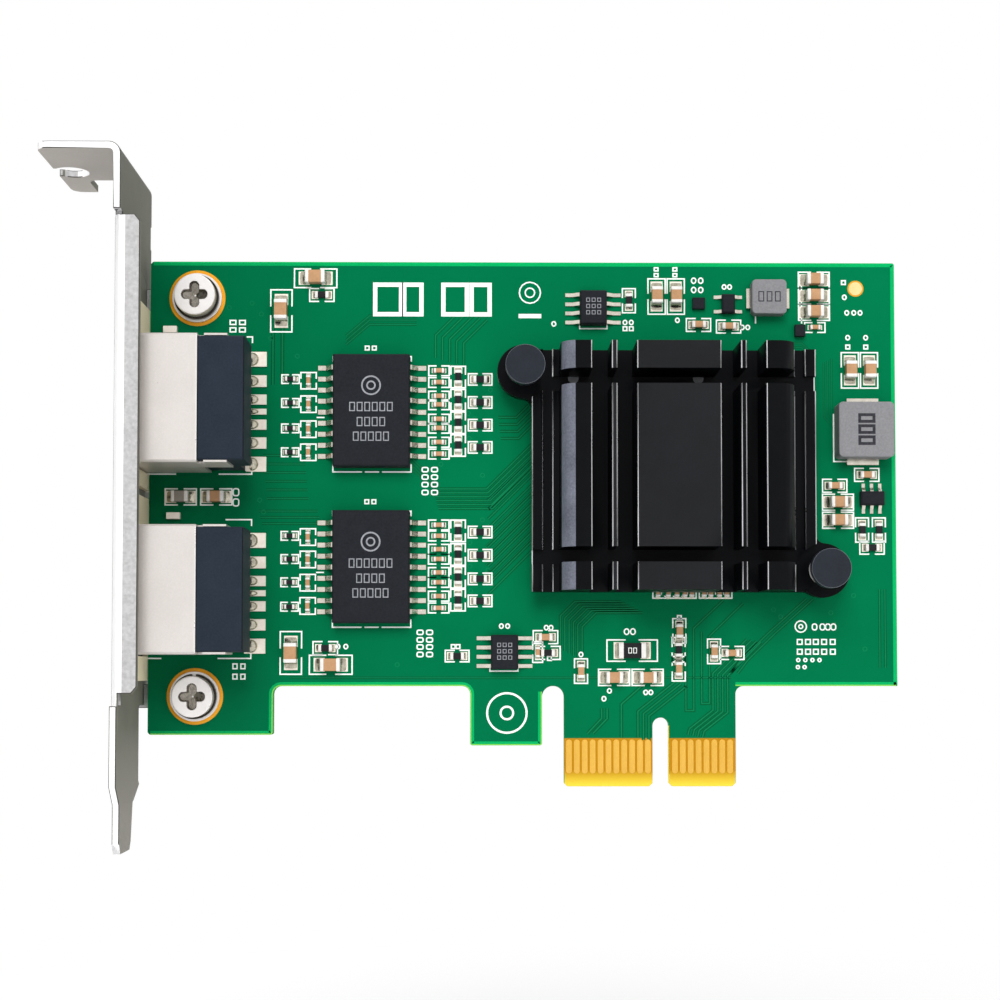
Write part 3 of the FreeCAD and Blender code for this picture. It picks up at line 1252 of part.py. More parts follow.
for thing in doc.Objects:
    if "Invalid" in thing.State or "Error" in thing.State:
        raise RuntimeError(thing.Name + " failed: " + str(thing.State))
for piece in sub_parts:
    if piece.Shape.isNull() or not piece.Shape.isValid():
        raise RuntimeError(piece.Label + " has no valid shape")

os.makedirs("parts", exist_ok=True)
for piece in sub_parts:
    piece.Shape.exportStep("parts/" + piece.Label + ".step")
print(len(sub_parts), "sub-parts written")
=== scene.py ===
import math

import bmesh
import bpy
import numpy as np
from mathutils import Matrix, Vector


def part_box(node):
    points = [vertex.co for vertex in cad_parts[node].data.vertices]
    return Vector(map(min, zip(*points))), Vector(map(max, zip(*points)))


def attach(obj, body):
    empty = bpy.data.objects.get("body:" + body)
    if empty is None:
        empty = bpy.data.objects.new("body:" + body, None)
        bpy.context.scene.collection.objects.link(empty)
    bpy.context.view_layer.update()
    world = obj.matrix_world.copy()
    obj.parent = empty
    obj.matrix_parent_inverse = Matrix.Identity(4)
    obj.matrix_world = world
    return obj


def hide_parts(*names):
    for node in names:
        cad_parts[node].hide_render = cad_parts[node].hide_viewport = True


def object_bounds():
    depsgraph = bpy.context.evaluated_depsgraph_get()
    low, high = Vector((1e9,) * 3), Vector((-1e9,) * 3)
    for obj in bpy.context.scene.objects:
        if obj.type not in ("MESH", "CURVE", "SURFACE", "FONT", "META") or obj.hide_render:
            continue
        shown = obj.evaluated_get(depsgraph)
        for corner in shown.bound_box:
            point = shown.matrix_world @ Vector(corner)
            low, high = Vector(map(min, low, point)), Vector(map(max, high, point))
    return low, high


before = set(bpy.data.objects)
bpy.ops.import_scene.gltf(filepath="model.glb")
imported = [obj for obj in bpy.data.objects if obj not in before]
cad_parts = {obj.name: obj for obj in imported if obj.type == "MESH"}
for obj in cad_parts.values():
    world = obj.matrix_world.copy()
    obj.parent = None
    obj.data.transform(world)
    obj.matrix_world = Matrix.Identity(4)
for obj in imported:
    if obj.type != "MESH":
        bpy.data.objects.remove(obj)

cadLow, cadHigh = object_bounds()
print("frame loaded:", len(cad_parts), "groups of solids")

places = ("upper", "lower")  # many parts come twice, once for each port


def boxOf(node):
    # lowest and highest corner of a node, in mm
    return [np.array(corner) * 1000 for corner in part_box(node)]


def middleOf(low, high):
    return (low[0] + high[0]) / 2, (low[2] + high[2]) / 2


boardLow, boardHigh = boxOf("circuit_board")
front, back = boardLow[1], boardHigh[1]  # component side and solder side of the board

# meshes worked out as whole arrays, in mm


def placed(x, height, z, side=-1):
    # points over a face of the board: side -1 is the component side, 1 the solder side
    start = front if side < 0 else back
    return np.stack(np.broadcast_arrays(x, start + side * height, z), -1)


def fullTurn(count):
    return np.linspace(0, 2 * math.pi, count, endpoint=False)


def joinedGrid(rows, columns, wrapRows=False):
    # four-sided faces between neighbouring points of a rows x columns sheet, closed sideways
    r = np.arange(rows if wrapRows else rows - 1)[:, None]
    c = np.arange(columns)[None, :]
    nextR, nextC = (r + 1) % rows, (c + 1) % columns
    quads = (r * columns + c, r * columns + nextC, nextR * columns + nextC, nextR * columns + c)
    return np.stack(quads, -1).reshape(-1, 4)


def turnedOut(points, faces):
    # six times the enclosed volume; below nought the faces point inwards and are turned
    volume = 0.0
    for group in faces:
        first = points[group[:, 0]]
        for step in range(1, group.shape[1] - 1):
            pair = points[group[:, step]], points[group[:, step + 1]]
            volume += np.sum(first * np.cross(*pair))
    return [group[:, ::-1] for group in faces] if volume < 0 else faces


def loft(rings, mark=0):
    # a closed profile carried through a row of places, with flat ends
    rings = np.asarray(rings, float)
    rows, columns = rings.shape[:2]
    points = rings.reshape(-1, 3)
    faces = [joinedGrid(rows, columns), np.arange(columns)[None, ::-1],
             (rows - 1) * columns + np.arange(columns)[None, :]]
    return points, turnedOut(points - points.mean(0), faces), mark


def closedLoft(rings, mark=0):
    # a closed profile carried round until it meets itself
    rings = np.asarray(rings, float)
    points = rings.reshape(-1, 3)
    faces = [joinedGrid(*rings.shape[:2], wrapRows=True)]
    return points, turnedOut(points - points.mean(0), faces), mark


def roundedLoop(halfA, halfB, radius, steps=3):
    # rectangle with quarter-circle corners: corner centre plus radius times (cos, sin)
    angle = (np.arange(4)[:, None] * math.pi / 2 + np.linspace(0, math.pi / 2, steps)).ravel()
    signA = np.repeat([1, -1, -1, 1], steps)
    signB = np.repeat([1, 1, -1, -1], steps)
    return (signA * (halfA - radius) + radius * np.cos(angle),
            signB * (halfB - radius) + radius * np.sin(angle))


def turnedRings(x, z, profile, count, side):
    # profile of (radius, height) pairs turned round an axis square to the board
    angle = fullTurn(count)
    radius, height = np.asarray(profile, float).T[:, :, None]
    return placed(x + radius * np.cos(angle), height, z + radius * np.sin(angle), side)


def turnedRound(x, z, profile, mark=0, count=48):
    return loft(turnedRings(x, z, profile, count, -1), mark)


def ringRound(x, z, profile, count=48, side=-1):
    # the profile is closed, which leaves a hole in the middle
    return closedLoft(turnedRings(x, z, profile, count, side))


def ribbon(path, width, low, high, mark=0, closed=False, side=-1):
    # flat strip along a path on the board: each point moved half a width along the mitre
    path = np.asarray(path, float)
    ahead = np.roll(path, -1, 0) - path
    behind = path - np.roll(path, 1, 0)
    if not closed:
        ahead[-1] = behind[-1]
        behind[0] = ahead[0]
    ahead /= np.linalg.norm(ahead, axis=1)[:, None]
    behind /= np.linalg.norm(behind, axis=1)[:, None]
    across = np.stack([-(ahead + behind)[:, 1], (ahead + behind)[:, 0]], -1)
    across /= np.linalg.norm(across, axis=1)[:, None]
    lean = np.clip(across[:, 1] * ahead[:, 0] - across[:, 0] * ahead[:, 1], 0.4, 1)
    offset = across * (width / 2 / lean)[:, None]
    rings = []
    for shift, height in ((-1, low), (1, low), (1, high), (-1, high)):
        x, z = (path + shift * offset).T
        rings.append(placed(x, height, z, side))
    return (closedLoft if closed else loft)(np.stack(rings, 1), mark)


def circlePath(x, z, radius, count):
    angle = fullTurn(count)
    return np.stack([x + radius * np.cos(angle), z + radius * np.sin(angle)], -1)


def boxPath(x, z, halfX, halfZ):
    return [(x - halfX, z - halfZ), (x + halfX, z - halfZ),
            (x + halfX, z + halfZ), (x - halfX, z + halfZ)]


def settled(piece, looks, slotName, *nodes):
    for look in looks.split():
        piece.data.materials.append(materials[look])
    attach(piece, "root")
    if nodes:
        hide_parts(*nodes)


def newPiece(name, parts, looks, slotName, *nodes, smooth=True, sharp=40):
    # looks names the finishes; a part's mark says which of them it wears
    mesh = bpy.data.meshes.new(name)
    corners, sizes, marks, base = [], [], [], 0
    for points, faces, mark in parts:
        for group in faces:
            corners.append((group + base).ravel())
            sizes.append(np.full(len(group), group.shape[1]))
            marks.append(np.full(len(group), mark))
        base += len(points)
    corners, sizes, marks = (np.concatenate(rows) for rows in (corners, sizes, marks))
    mesh.vertices.add(base)
    mesh.vertices.foreach_set("co", (np.concatenate([p[0] for p in parts]) * 0.001).ravel())
    mesh.loops.add(len(corners))
    mesh.loops.foreach_set("vertex_index", corners.astype(np.int32))
    mesh.polygons.add(len(sizes))
    mesh.polygons.foreach_set("loop_start", (np.cumsum(sizes) - sizes).astype(np.int32))
    mesh.update(calc_edges=True)
    piece = bpy.data.objects.new(name, mesh)
    bpy.context.scene.collection.objects.link(piece)
    settled(piece, looks, slotName, *nodes)
    mesh.polygons.foreach_set("material_index", marks.astype(np.int32))
    mesh.polygons.foreach_set("use_smooth", np.full(len(sizes), smooth))
    if smooth:
        mesh.set_sharp_from_angle(angle=math.radians(sharp))
    mesh.validate()


def pieceName(node):
    # jack_feet_upper becomes jackFeet_upper
    first, *others = node.split("_")
    return first + "".join("_" + word if word in places else word.title() for word in others)


def bevelled(piece, label, width, segments, **settings):
    bevel = piece.modifiers.new(label, "BEVEL")
    bevel.width = width * 0.001
    bevel.segments = segments
    bevel.harden_normals = True
    for key, value in settings.items():
        setattr(bevel, key, value)


# sizes that pick the edges which carry a painted highlight or a painted shade line
paintedEdgeSize = {"uprightLength": 0.0012, "frontLength": 0.00015, "fold": 0.9}


def dressed(node, looks, slotName, bevel=0.08, segments=2, sharp=35, name=None, chosen=None,
            paintedEdges=None, paintedEdgeWidth=0.12):
    # a merged copy of a solid, with its edges eased; chosen gives each face its finish, and
    # the edges it is told to mark wear the last finish, a painted highlight or a painted shade
    # line: the long "upright" ones or the "front" face's
    piece = bpy.data.objects.new(name or pieceName(node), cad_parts[node].data.copy())
    bpy.context.scene.collection.objects.link(piece)
    piece.data.materials.clear()
    work = bmesh.new()
    work.from_mesh(piece.data)
    bmesh.ops.remove_doubles(work, verts=work.verts, dist=2e-6)
    bmesh.ops.dissolve_limit(work, angle_limit=math.radians(0.6), verts=work.verts,
                             edges=work.edges)
    for face in work.faces:
        face.material_index = chosen(face) if chosen else 0
        face.smooth = True
    if paintedEdges:
        weight = work.edges.layers.float.new("bevel_weight_edge")
        for side in work.edges:
            run = side.verts[1].co - side.verts[0].co
            upright = abs(run.z) > paintedEdgeSize["uprightLength"] and abs(run.z) > 0.99 * run.length
            inFront = (run.length > paintedEdgeSize["frontLength"]
                       and any(face.normal.y < -0.9 for face in side.link_faces))
            wanted = upright if paintedEdges == "upright" else inFront
            fold = side.calc_face_angle(0) if side.is_convex else 0
            side[weight] = float(wanted and fold > paintedEdgeSize["fold"])
    work.to_mesh(piece.data)
    work.free()
    piece.data.set_sharp_from_angle(angle=math.radians(sharp))
    weighted = {"limit_method": "WEIGHT", "use_clamp_overlap": False,
                "material": len(looks.split()) - 1}
    plain = {"limit_method": "ANGLE", "angle_limit": math.radians(sharp)}
    # the chosen edges get a bevel of their own that wears a painted highlight or painted shade
    # line
    if paintedEdges == "upright":
        bevelled(piece, "PaintedEdgeLines", paintedEdgeWidth, 1, **weighted)
    if bevel:
        bevelled(piece, "EasedEdges", bevel, segments, **(weighted if paintedEdges == "front" else plain))
    settled(piece, looks, slotName, node)


def solidBoxes(node):
    # lowest and highest corner of each separate solid in a node, in mm, in a fixed order
    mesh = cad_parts[node].data
    spots = np.empty(len(mesh.vertices) * 3, np.float32)
    mesh.vertices.foreach_get("co", spots)
    spots = spots.reshape(-1, 3) * 1000
    mesh.calc_loop_triangles()
    corners = np.empty(len(mesh.loop_triangles) * 3, np.int32)
    mesh.loop_triangles.foreach_get("vertices", corners)
    shared, same = np.unique(np.round(spots, 3), axis=0, return_inverse=True)
    triangles = same.ravel()[corners].reshape(-1, 3)
    label = np.arange(len(shared))
    while True:  # the lowest label spreads over each solid until nothing changes
        before = label.copy()
        lowest = label[triangles].min(1)
        for corner in range(3):
            np.minimum.at(label, triangles[:, corner], lowest)
        if (label == before).all():
            break
    solids = [shared[label == mark] for mark in np.unique(label)]
    found = [(solid.min(0), solid.max(0)) for solid in solids]
    return sorted(found, key=lambda pair: (round(pair[0][0], 2), round(pair[0][2], 2)))


# finishes


def tone(red, green, blue):
    # screen colour 0-255 to the light value that a shader takes
    share = np.array([red, green, blue]) / 255
    light = np.where(share <= 0.04045, share / 12.92, ((share + 0.055) / 1.055) ** 2.4)
    return (*light.tolist(), 1)


def addNode(tree, kind, given=None, **settings):
    # given holds a plain value, or the socket that feeds it, for each input
    node = tree.nodes.new("ShaderNode" + kind)
    for label, value in settings.items():
        setattr(node, label, value)
    for label, value in (given or {}).items():
        if isinstance(value, bpy.types.NodeSocket):
            tree.links.new(value, node.inputs[label])
        else:
            node.inputs[label].default_value = value
    return node


def reckon(tree, operation, first, second, clamp=False):
    node = addNode(tree, "Math", {0: first, 1: second}, operation=operation, use_clamp=clamp)
    return node.outputs[0]


def ranged(tree, value, fromMin, fromMax, toMin=0.0, toMax=1.0):
    given = {"Value": value, "From Min": fromMin, "From Max": fromMax,
             "To Min": toMin, "To Max": toMax}
    return addNode(tree, "MapRange", given).outputs["Result"]


def mixed(tree, share, first, second, blend="MIX"):
    given = {0: share, 6: first, 7: second}
    return addNode(tree, "Mix", given, data_type="RGBA", blend_type=blend).outputs[2]


def objectPlace(tree):
    return addNode(tree, "TexCoord").outputs["Object"]


def along(tree, axis):
    return addNode(tree, "SeparateXYZ", {0: objectPlace(tree)}).outputs[axis]


def newGroup(name, inputs, outputs):
    group = bpy.data.node_groups.new(name, "ShaderNodeTree")
    for label, value in inputs.items():
        kind = "NodeSocketFloat" if isinstance(value, float) else "NodeSocketVector"
        socket = group.interface.new_socket(label, in_out="INPUT", socket_type=kind)
        socket.default_value = value
    for label in outputs:
        group.interface.new_socket(label, in_out="OUTPUT", socket_type="NodeSocketFloat")
    source, result = group.nodes.new("NodeGroupInput"), group.nodes.new("NodeGroupOutput")
    return group, source.outputs, result.inputs


def speckleGroup():
    # cloudy patches with a fine grain over them: Shade for colour, Height for relief
    group, source, result = newGroup(
        "speckle", {"Vector": (0.0, 0.0, 0.0), "Cloud Scale": 120.0, "Grain Scale": 3000.0,
                    "Cloud": 0.5, "Grain": 0.5}, ("Shade", "Height"))
    parts = []
    for kind, detail in (("Cloud", 3), ("Grain", 1)):
        given = {"Vector": source["Vector"], "Scale": source[kind + " Scale"], "Detail": detail}
        noise = addNode(group, "TexNoise", given).outputs["Fac"]
        centred = reckon(group, "SUBTRACT", noise, 0.5)
        parts.append(reckon(group, "MULTIPLY", centred, source[kind]))
    total = reckon(group, "ADD", *parts)
    group.links.new(reckon(group, "ADD", total, 0.5, clamp=True), result["Shade"])
    group.links.new(noise, result["Height"])
    return group


def streakGroup():
    # long thin streaks along one direction, from noise squeezed across it
    group, source, result = newGroup(
        "streaks", {"Vector": (0.0, 0.0, 0.0), "Stretch": (60.0, 60.0, 2500.0),
                    "Strength": 1.0}, ("Shade",))
    squeezed = addNode(group, "VectorMath", {0: source["Vector"], 1: source["Stretch"]},
                       operation="MULTIPLY")
    given = {"Vector": squeezed.outputs[0], "Scale": 1, "Detail": 2}
    noise = addNode(group, "TexNoise", given).outputs["Fac"]
    shade = reckon(group, "MULTIPLY", noise, source["Strength"], clamp=True)
    group.links.new(shade, result["Shade"])
    return group


speckle = speckleGroup()
streaks = streakGroup()
# finishes that get a painted shade towards the jacks
shadedTowardJacks = ("boardMask", "maskTrack", "maskRidge", "maskEdge")
surface = {"reliefDepth": 0.00001, "roughSpread": 0.08, "streakShare": 0.6,
           "shadeFrom": -0.066, "shadeTo": -0.03, "shadeDepth": 0.7}


def finish(name, low, high, roughness, metallic, specular, bump, cloudScale, cloud, grain,
           more={}):
    # low and high are the darkest and the lightest colour, blended by the speckle
    material = bpy.data.materials.new(name)
    material.use_nodes = True
    tree = material.node_tree
    shader = tree.nodes["Principled BSDF"].inputs
    shader["Metallic"].default_value = metallic
    shader["Specular IOR Level"].default_value = specular
    place = objectPlace(tree)
    given = {"Vector": place, "Cloud Scale": cloudScale, "Cloud": cloud, "Grain": grain,
             "Grain Scale": more.get("grainScale", 4000)}
    mottled = addNode(tree, "Group", given, node_tree=speckle).outputs
    shade = mottled["Shade"]
    if "stretch" in more:
        given = {"Vector": place, "Stretch": more["stretch"]}
        drawn = addNode(tree, "Group", given, node_tree=streaks).outputs["Shade"]
        drawn = reckon(tree, "MULTIPLY", drawn, surface["streakShare"])
        plain = reckon(tree, "MULTIPLY", shade, 1 - surface["streakShare"])
        shade = reckon(tree, "ADD", drawn, plain)
    colour = mixed(tree, shade, tone(*low), tone(*high))
    if name in shadedTowardJacks:  # painted shade: the mask is darkened towards the jacks
        toLeft = ranged(tree, along(tree, "X"), surface["shadeFrom"], surface["shadeTo"],
                        surface["shadeDepth"])
        colour = mixed(tree, 1, colour, toLeft, "MULTIPLY")
    tree.links.new(colour, shader["Base Color"])
    smoothest = max(roughness - surface["roughSpread"], 0.02)
    spread = ranged(tree, shade, 0, 1, smoothest, roughness + surface["roughSpread"])
    tree.links.new(spread, shader["Roughness"])
    given = {"Strength": bump, "Distance": surface["reliefDepth"], "Height": mottled["Height"]}
    relief = addNode(tree, "Bump", given).outputs["Normal"]
    tree.links.new(relief, shader["Normal"])
    return material


finishes = {
    # darkest and lightest colour, roughness, metallic, specular, bump, cloud scale, cloud and
    # grain strength, the rest
    "boardMask": ((0, 100, 61), (1, 117, 73), 0.45, 0, 0.025, 0.05, 40, 1.3, 0.2),
    "maskTrack": ((0, 76, 42), (0, 90, 52), 0.45, 0, 0.06, 0.05, 60, 0.9, 0.5),
    "maskRidge": ((2, 110, 68), (10, 126, 79), 0.42, 0, 0.08, 0.05, 150, 0.9, 0.5),
    "maskEdge": ((0, 156, 84), (4, 176, 96), 0.45, 0, 0.08, 0.05, 150, 0.9, 0.5),
    # the next two colour the thin rim along the board's edge, a painted highlight
    "maskRim": ((96, 196, 70), (160, 208, 84), 0.5, 0, 0.1, 0.05, 150, 0.9, 0.5),
    "maskTop": ((0, 158, 88), (6, 182, 104), 0.5, 0, 0.1, 0.05, 150, 0.9, 0.5),
    "fingerEdge": ((230, 206, 58), (244, 222, 82), 0.6, 0, 0.08, 0.1, 150, 0.9, 0.5),
    "boardSide": ((20, 132, 72), (64, 160, 84), 0.6, 0, 0.1, 0.2, 300, 0.9, 0.5,
                  {"stretch": (60, 4000, 60)}),
    "goldPlate": ((218, 166, 60), (240, 190, 84), 0.34, 0.5, 0.5, 0.1, 300, 0.7, 0.4),
    "padGold": ((238, 196, 124), (252, 222, 162), 0.4, 0.3, 0.5, 0.1, 900, 0.9, 0.5),
    "landGold": ((216, 140, 8), (240, 170, 30), 0.38, 0.4, 0.5, 0.1, 500, 0.9, 0.5),
    "paint": ((236, 244, 238), (250, 253, 250), 0.65, 0, 0.1, 0.1, 900, 0.9, 0.8),
    "tin": ((196, 190, 178), (236, 230, 216), 0.2, 0.92, 0.5, 0.2, 900, 1.6, 0.4),
    "landTin": ((226, 216, 200), (250, 242, 230), 0.4, 0.2, 0.5, 0.2, 900, 1.2, 0.5),
    "solder": ((140, 136, 120), (216, 210, 192), 0.22, 0.94, 0.5, 0.3, 1200, 1.6, 0.5),
    "chipEnd": ((214, 210, 206), (244, 242, 238), 0.5, 0.1, 0.5, 0.2, 1500, 0.9, 0.5),
    "steel": ((226, 222, 220), (246, 243, 241), 0.32, 0.5, 0.5, 0.12, 400, 0.8, 0.4),
    # painted shade for the screw's cross recess
    "recessSteel": ((104, 98, 90), (172, 166, 156), 0.28, 0.9, 0.5, 0.3, 1800, 1.6, 0.5),
    "darkSteel": ((34, 30, 26), (70, 64, 56), 0.3, 0.9, 0.5, 0.2, 600, 0.9, 0.5),
    "bracketSteel": ((162, 161, 161), (194, 193, 194), 0.55, 0, 0.06, 0.2, 500, 0.5, 1.4,
                     {"grainScale": 2600}),
    # painted shade on the bracket's inner side
    "bracketShade": ((112, 112, 103), (132, 132, 122), 0.6, 0, 0.04, 0.1, 120, 1.2, 0.4),
    # painted shade on the underside of the bracket's tab
    "bracketUnder": ((160, 155, 149), (182, 177, 171), 0.6, 0, 0.04, 0.1, 120, 1.0, 0.4),
    # painted shade line on the bracket's front edges and the bend's last strip
    "bracketRim": ((58, 56, 52), (88, 86, 82), 0.5, 0, 0.1, 0.1, 400, 0.9, 0.5),
    # painted highlight on the bracket's bend, cut faces and tip
    "bracketEdge": ((240, 240, 240), (250, 250, 250), 0.4, 0.2, 0.5, 0.1, 500, 0.9, 0.5),
    "tinplate": ((202, 196, 192), (220, 214, 210), 0.32, 0.4, 0.5, 0.04, 200, 0.8, 0.6,
                 {"grainScale": 4600}),
    # painted highlight on the shield's upright edges
    "tinplateEdge": ((240, 236, 232), (252, 250, 248), 0.3, 0.5, 0.5, 0.1, 500, 0.9, 0.5),
    "gasketBrass": ((246, 230, 192), (254, 246, 220), 0.5, 0, 0.3, 0.15, 500, 0.9, 0.5,
                    {"stretch": (2000, 2000, 80)}),
    "jackPlastic": ((31, 38, 48), (42, 50, 61), 0.5, 0, 0.08, 0.15, 300, 0.9, 0.9),
    # painted shade line on the jack housing's upright edges
    "jackRim": ((12, 14, 18), (20, 22, 28), 0.4, 0, 0.15, 0.1, 150, 0.9, 0.5),
    "packagePlastic": ((25, 27, 31), (38, 40, 45), 0.6, 0, 0.1, 0.35, 600, 0.5, 1.1),
    "heatsinkBlack": ((9, 10, 13), (18, 20, 24), 0.34, 0, 0.22, 0.08, 350, 1.0, 0.8),
    # painted light on the heat sink: a darker painted shade, the flank's painted highlight and
    # the edges' painted highlight
    "heatsinkDeep": ((4, 5, 7), (11, 12, 15), 0.36, 0, 0.08, 0.08, 350, 1.0, 0.8),
    "heatsinkFlank": ((78, 81, 92), (122, 126, 140), 0.36, 0, 0.2, 0.08, 260, 1.2, 0.9),
    "heatsinkEdge": ((206, 206, 210), (248, 248, 250), 0.3, 0.9, 0.5, 0.1, 300, 1.4, 0.5),
    "ejectorMark": ((84, 86, 90), (122, 124, 128), 0.35, 0, 0.5, 0.2, 150, 0.9, 0.5),
    "pinPlastic": ((30, 33, 39), (41, 45, 53), 0.36, 0, 0.12, 0.15, 500, 0.9, 0.5),
    # painted highlight for the glints on the push pin's head
    "pinRim": ((84, 88, 96), (120, 124, 132), 0.4, 0, 0.4, 0.1, 150, 0.9, 0.5),
    "thermalRubber": ((150, 152, 160), (178, 180, 186), 0.8, 0, 0.5, 0.3, 150, 0.9, 0.5),
    "ferrite": ((118, 118, 121), (139, 139, 142), 0.6, 0, 0.15, 0.4, 900, 0.6, 1.2),
    "ceramicBrown": ((168, 128, 92), (194, 152, 114), 0.5, 0, 0.2, 0.15, 900, 1.0, 0.6),
    "ceramicGrey": ((134, 128, 120), (156, 150, 142), 0.5, 0, 0.2, 0.15, 900, 0.9, 0.5),
    "resistorBlack": ((18, 18, 20), (34, 34, 38), 0.35, 0, 0.2, 0.15, 900, 0.9, 0.5),
    "lampBody": ((226, 216, 206), (246, 238, 230), 0.3, 0, 0.5, 0.1, 1500, 0.9, 0.5),
    "engraved": ((128, 130, 136), (160, 162, 168), 0.6, 0, 0.1, 0.2, 3000, 0.9, 1.4),
    "engravedDark": ((40, 40, 44), (62, 62, 68), 0.6, 0, 0.1, 0.2, 3000, 0.9, 1.4),
}
materials = {name: finish(name, *values) for name, values in finishes.items()}


def recolour(name, change):
    # puts a change between a finish's colour and its shader
    tree = materials[name].node_tree
    base = tree.nodes["Principled BSDF"].inputs["Base Color"]
    tree.links.new(change(tree, base.links[0].from_socket), base)


print("finishes made:", len(finishes))

# board, contacts and lands

board = {"edgeBand": 0.5, "fingerTop": 6.1, "fingerLeft": -12.35, "maskFade": 0.05,
         "leadLow": 0.2, "leadHigh": 2.1, "bevelTop": 3.2}


def bareTongue(tree, colour):
    # the mask gives way to bare laminate at the contacts, paler on the lead-in below them
    fade = board["maskFade"]
    kept = [ranged(tree, along(tree, axis), (edge - fade) * 0.001, (edge + fade) * 0.001, *ends)
            for axis, edge, ends in (("Z", board["fingerTop"], (0, 1)),
                                     ("X", board["fingerLeft"], (1, 0)))]
    lead = ranged(tree, along(tree, "Z"), board["leadLow"] * 0.001, board["leadHigh"] * 0.001)
    laminate = mixed(tree, lead, tone(236, 208, 66), tone(182, 128, 22))
    return mixed(tree, reckon(tree, "MAXIMUM", *kept), laminate, colour)


def boardFace(face):
    if abs(face.normal.y) > 0.95:
        return 0
    return 1 if face.calc_center_median().z * 1000 < board["bevelTop"] else 2


recolour("boardMask", bareTongue)
dressed("circuit_board", "boardMask fingerEdge boardSide", "board", bevel=0.05, segments=1,
        chosen=boardFace)


def contactPad(low, high):
    # stadium outline: half circles of half the pad's width at both ends, carried away from
    # the board and drawn in over its upper half
    x, z = middleOf(low, high)
    halfX, halfZ, thick = (high[0] - low[0]) / 2, (high[2] - low[2]) / 2, high[1] - low[1]
    side, draw = (-1 if low[1] < 0 else 1), thick * 0.5
    rings = []
    for height, inset in ((-0.01, 0), (thick - draw, 0), (thick - 0.3 * draw, 0.3 * draw),
                          (thick, draw)):
        corner = max(halfX * 0.98 - inset, 0.01)
        a, b = roundedLoop(halfX - inset, halfZ - inset, corner, steps=7)
        rings.append(placed(x + a, height, z + b, side))
    return loft(rings)


newPiece("edgeContacts", [contactPad(*pair) for pair in solidBoxes("edge_contacts")],
         "goldPlate", "gold", "edge_contacts")

lands = {"ring": 3.575, "hole": 1.6, "thick": 0.03, "testX": 25.13, "testZ": 63.51}


def holeLands():
    ring, hole, thick = lands["ring"], lands["hole"], lands["thick"]
    profile = [(hole, -0.01), (ring, -0.01), (ring, thick * 0.6), (ring - 0.02, thick),
               (hole, thick)]
    return [ringRound(*middleOf(*boxOf("flat_washer_" + place)), profile, count=72, side=side)
            for place in places for side in (-1, 1)]


def testPad():
    x, z = lands["testX"], lands["testZ"]
    return [turnedRound(x, z, [(1.03, -0.01), (1.03, 0.02), (1.0, 0.025)]),
            turnedRound(x, z, [(0.84, -0.01), (0.84, 0.03), (0.8, 0.035)], 1)]


newPiece("holeLands", holeLands(), "landGold", "gold")
newPiece("testPad", testPad(), "landGold padGold", "gold")
print("board, contacts and lands made")

# bracket, screws and jacks

bracket = {"tabAbove": 70, "tipBelow": -4, "largestCut": 6e-5, "footLow": -0.003,
           "footHigh": 0.008}
bracketFront = boxOf("mounting_bracket")[0][1]


def palerFoot(tree, colour):
    # painted light: the inner side's painted shade grows paler towards the foot
    rise = ranged(tree, along(tree, "Z"), bracket["footLow"], bracket["footHigh"])
    return mixed(tree, rise, tone(158, 154, 147), colour)


def bracketFace(face):
    normal, middle = face.normal, face.calc_center_median() * 1000
    if normal.x > 0.6:
        return 2  # the inner side, which faces the jacks, in painted shade
    if normal.z < -0.6 and middle.z > bracket["tabAbove"]:
        return 3  # the underside of the tab, in painted shade
    if -0.998 < normal.x < -0.9 and normal.y < -0.05:
        return 4  # the bend's last strip, seen edge on, as a painted shade line
    # painted highlight on the bend, the small cut faces in front and the tip
    bend = normal.x < -0.12 and normal.y < -0.12
    cut = (normal.y < -0.9 and middle.y < bracketFront + 0.01
           and face.calc_area() < bracket["largestCut"])
    tip = normal.y < -0.5 and middle.z < bracket["tipBelow"]
    return 1 if bend or cut or tip else 0


recolour("bracketShade", palerFoot)
# the front face's edges wear a painted shade line
dressed("mounting_bracket", "bracketSteel bracketEdge bracketShade bracketUnder bracketRim",
        "bracket", bevel=0.1, segments=1, sharp=55, chosen=bracketFace, paintedEdges="front")

screw = {"head": 2.58, "crown": 0.12, "recess": 0.95, "reach": 1.66, "arm": 0.5, "rings": 44,
         "spokes": 144, "shank": 1.45}


def screwHead(x, z, low, high):
    # polar sheet over the head: height falls into four sloped arms that meet in the middle
    spread = np.linspace(0, 1, screw["rings"]) ** 0.85
    angle = fullTurn(screw["spokes"])
    radius = np.broadcast_to((spread * screw["head"])[:, None], (len(spread), len(angle)))
    alongX, alongZ = radius * np.cos(angle), radius * np.sin(angle)
    armLong = np.maximum(np.abs(alongX), np.abs(alongZ))
    armWide = np.minimum(np.abs(alongX), np.abs(alongZ))
    pastEnd = np.maximum(armLong - (screw["reach"] - screw["arm"] - 0.1), 0)
    inArm = np.clip((screw["arm"] + 0.12 - np.hypot(armWide, pastEnd)) / 0.14, 0, 1)
    inMiddle = np.clip((1.0 - armLong - armWide) / 0.2, 0, 1)
    sloped = 0.55 + 0.45 * np.clip(1 - armLong / screw["reach"], 0, 1)
    depth = screw["recess"] * np.maximum(inArm * sloped, inMiddle * 0.8)
    rim = np.clip((radius - screw["head"] + screw["crown"]) / screw["crown"], 0, 1)
    top = high - screw["crown"] * 0.7 * rim ** 2 - depth
    rings = placed(x + alongX, top, z + alongZ)
    foot = placed(x + alongX[-1], low, z + alongZ[-1])
    points, faces, _ = loft([*rings[1:], foot])
    # faces sunk into the recess wear the second finish, a painted shade
    marks = np.zeros(len(faces[0]), int)
    sunk = (depth[1:-1] > 0.12).ravel()
    marks[:sunk.size] = sunk
    return [(points, [faces[0][marks == 0]] + faces[1:], 0), (points, [faces[0][marks == 1]], 1)]


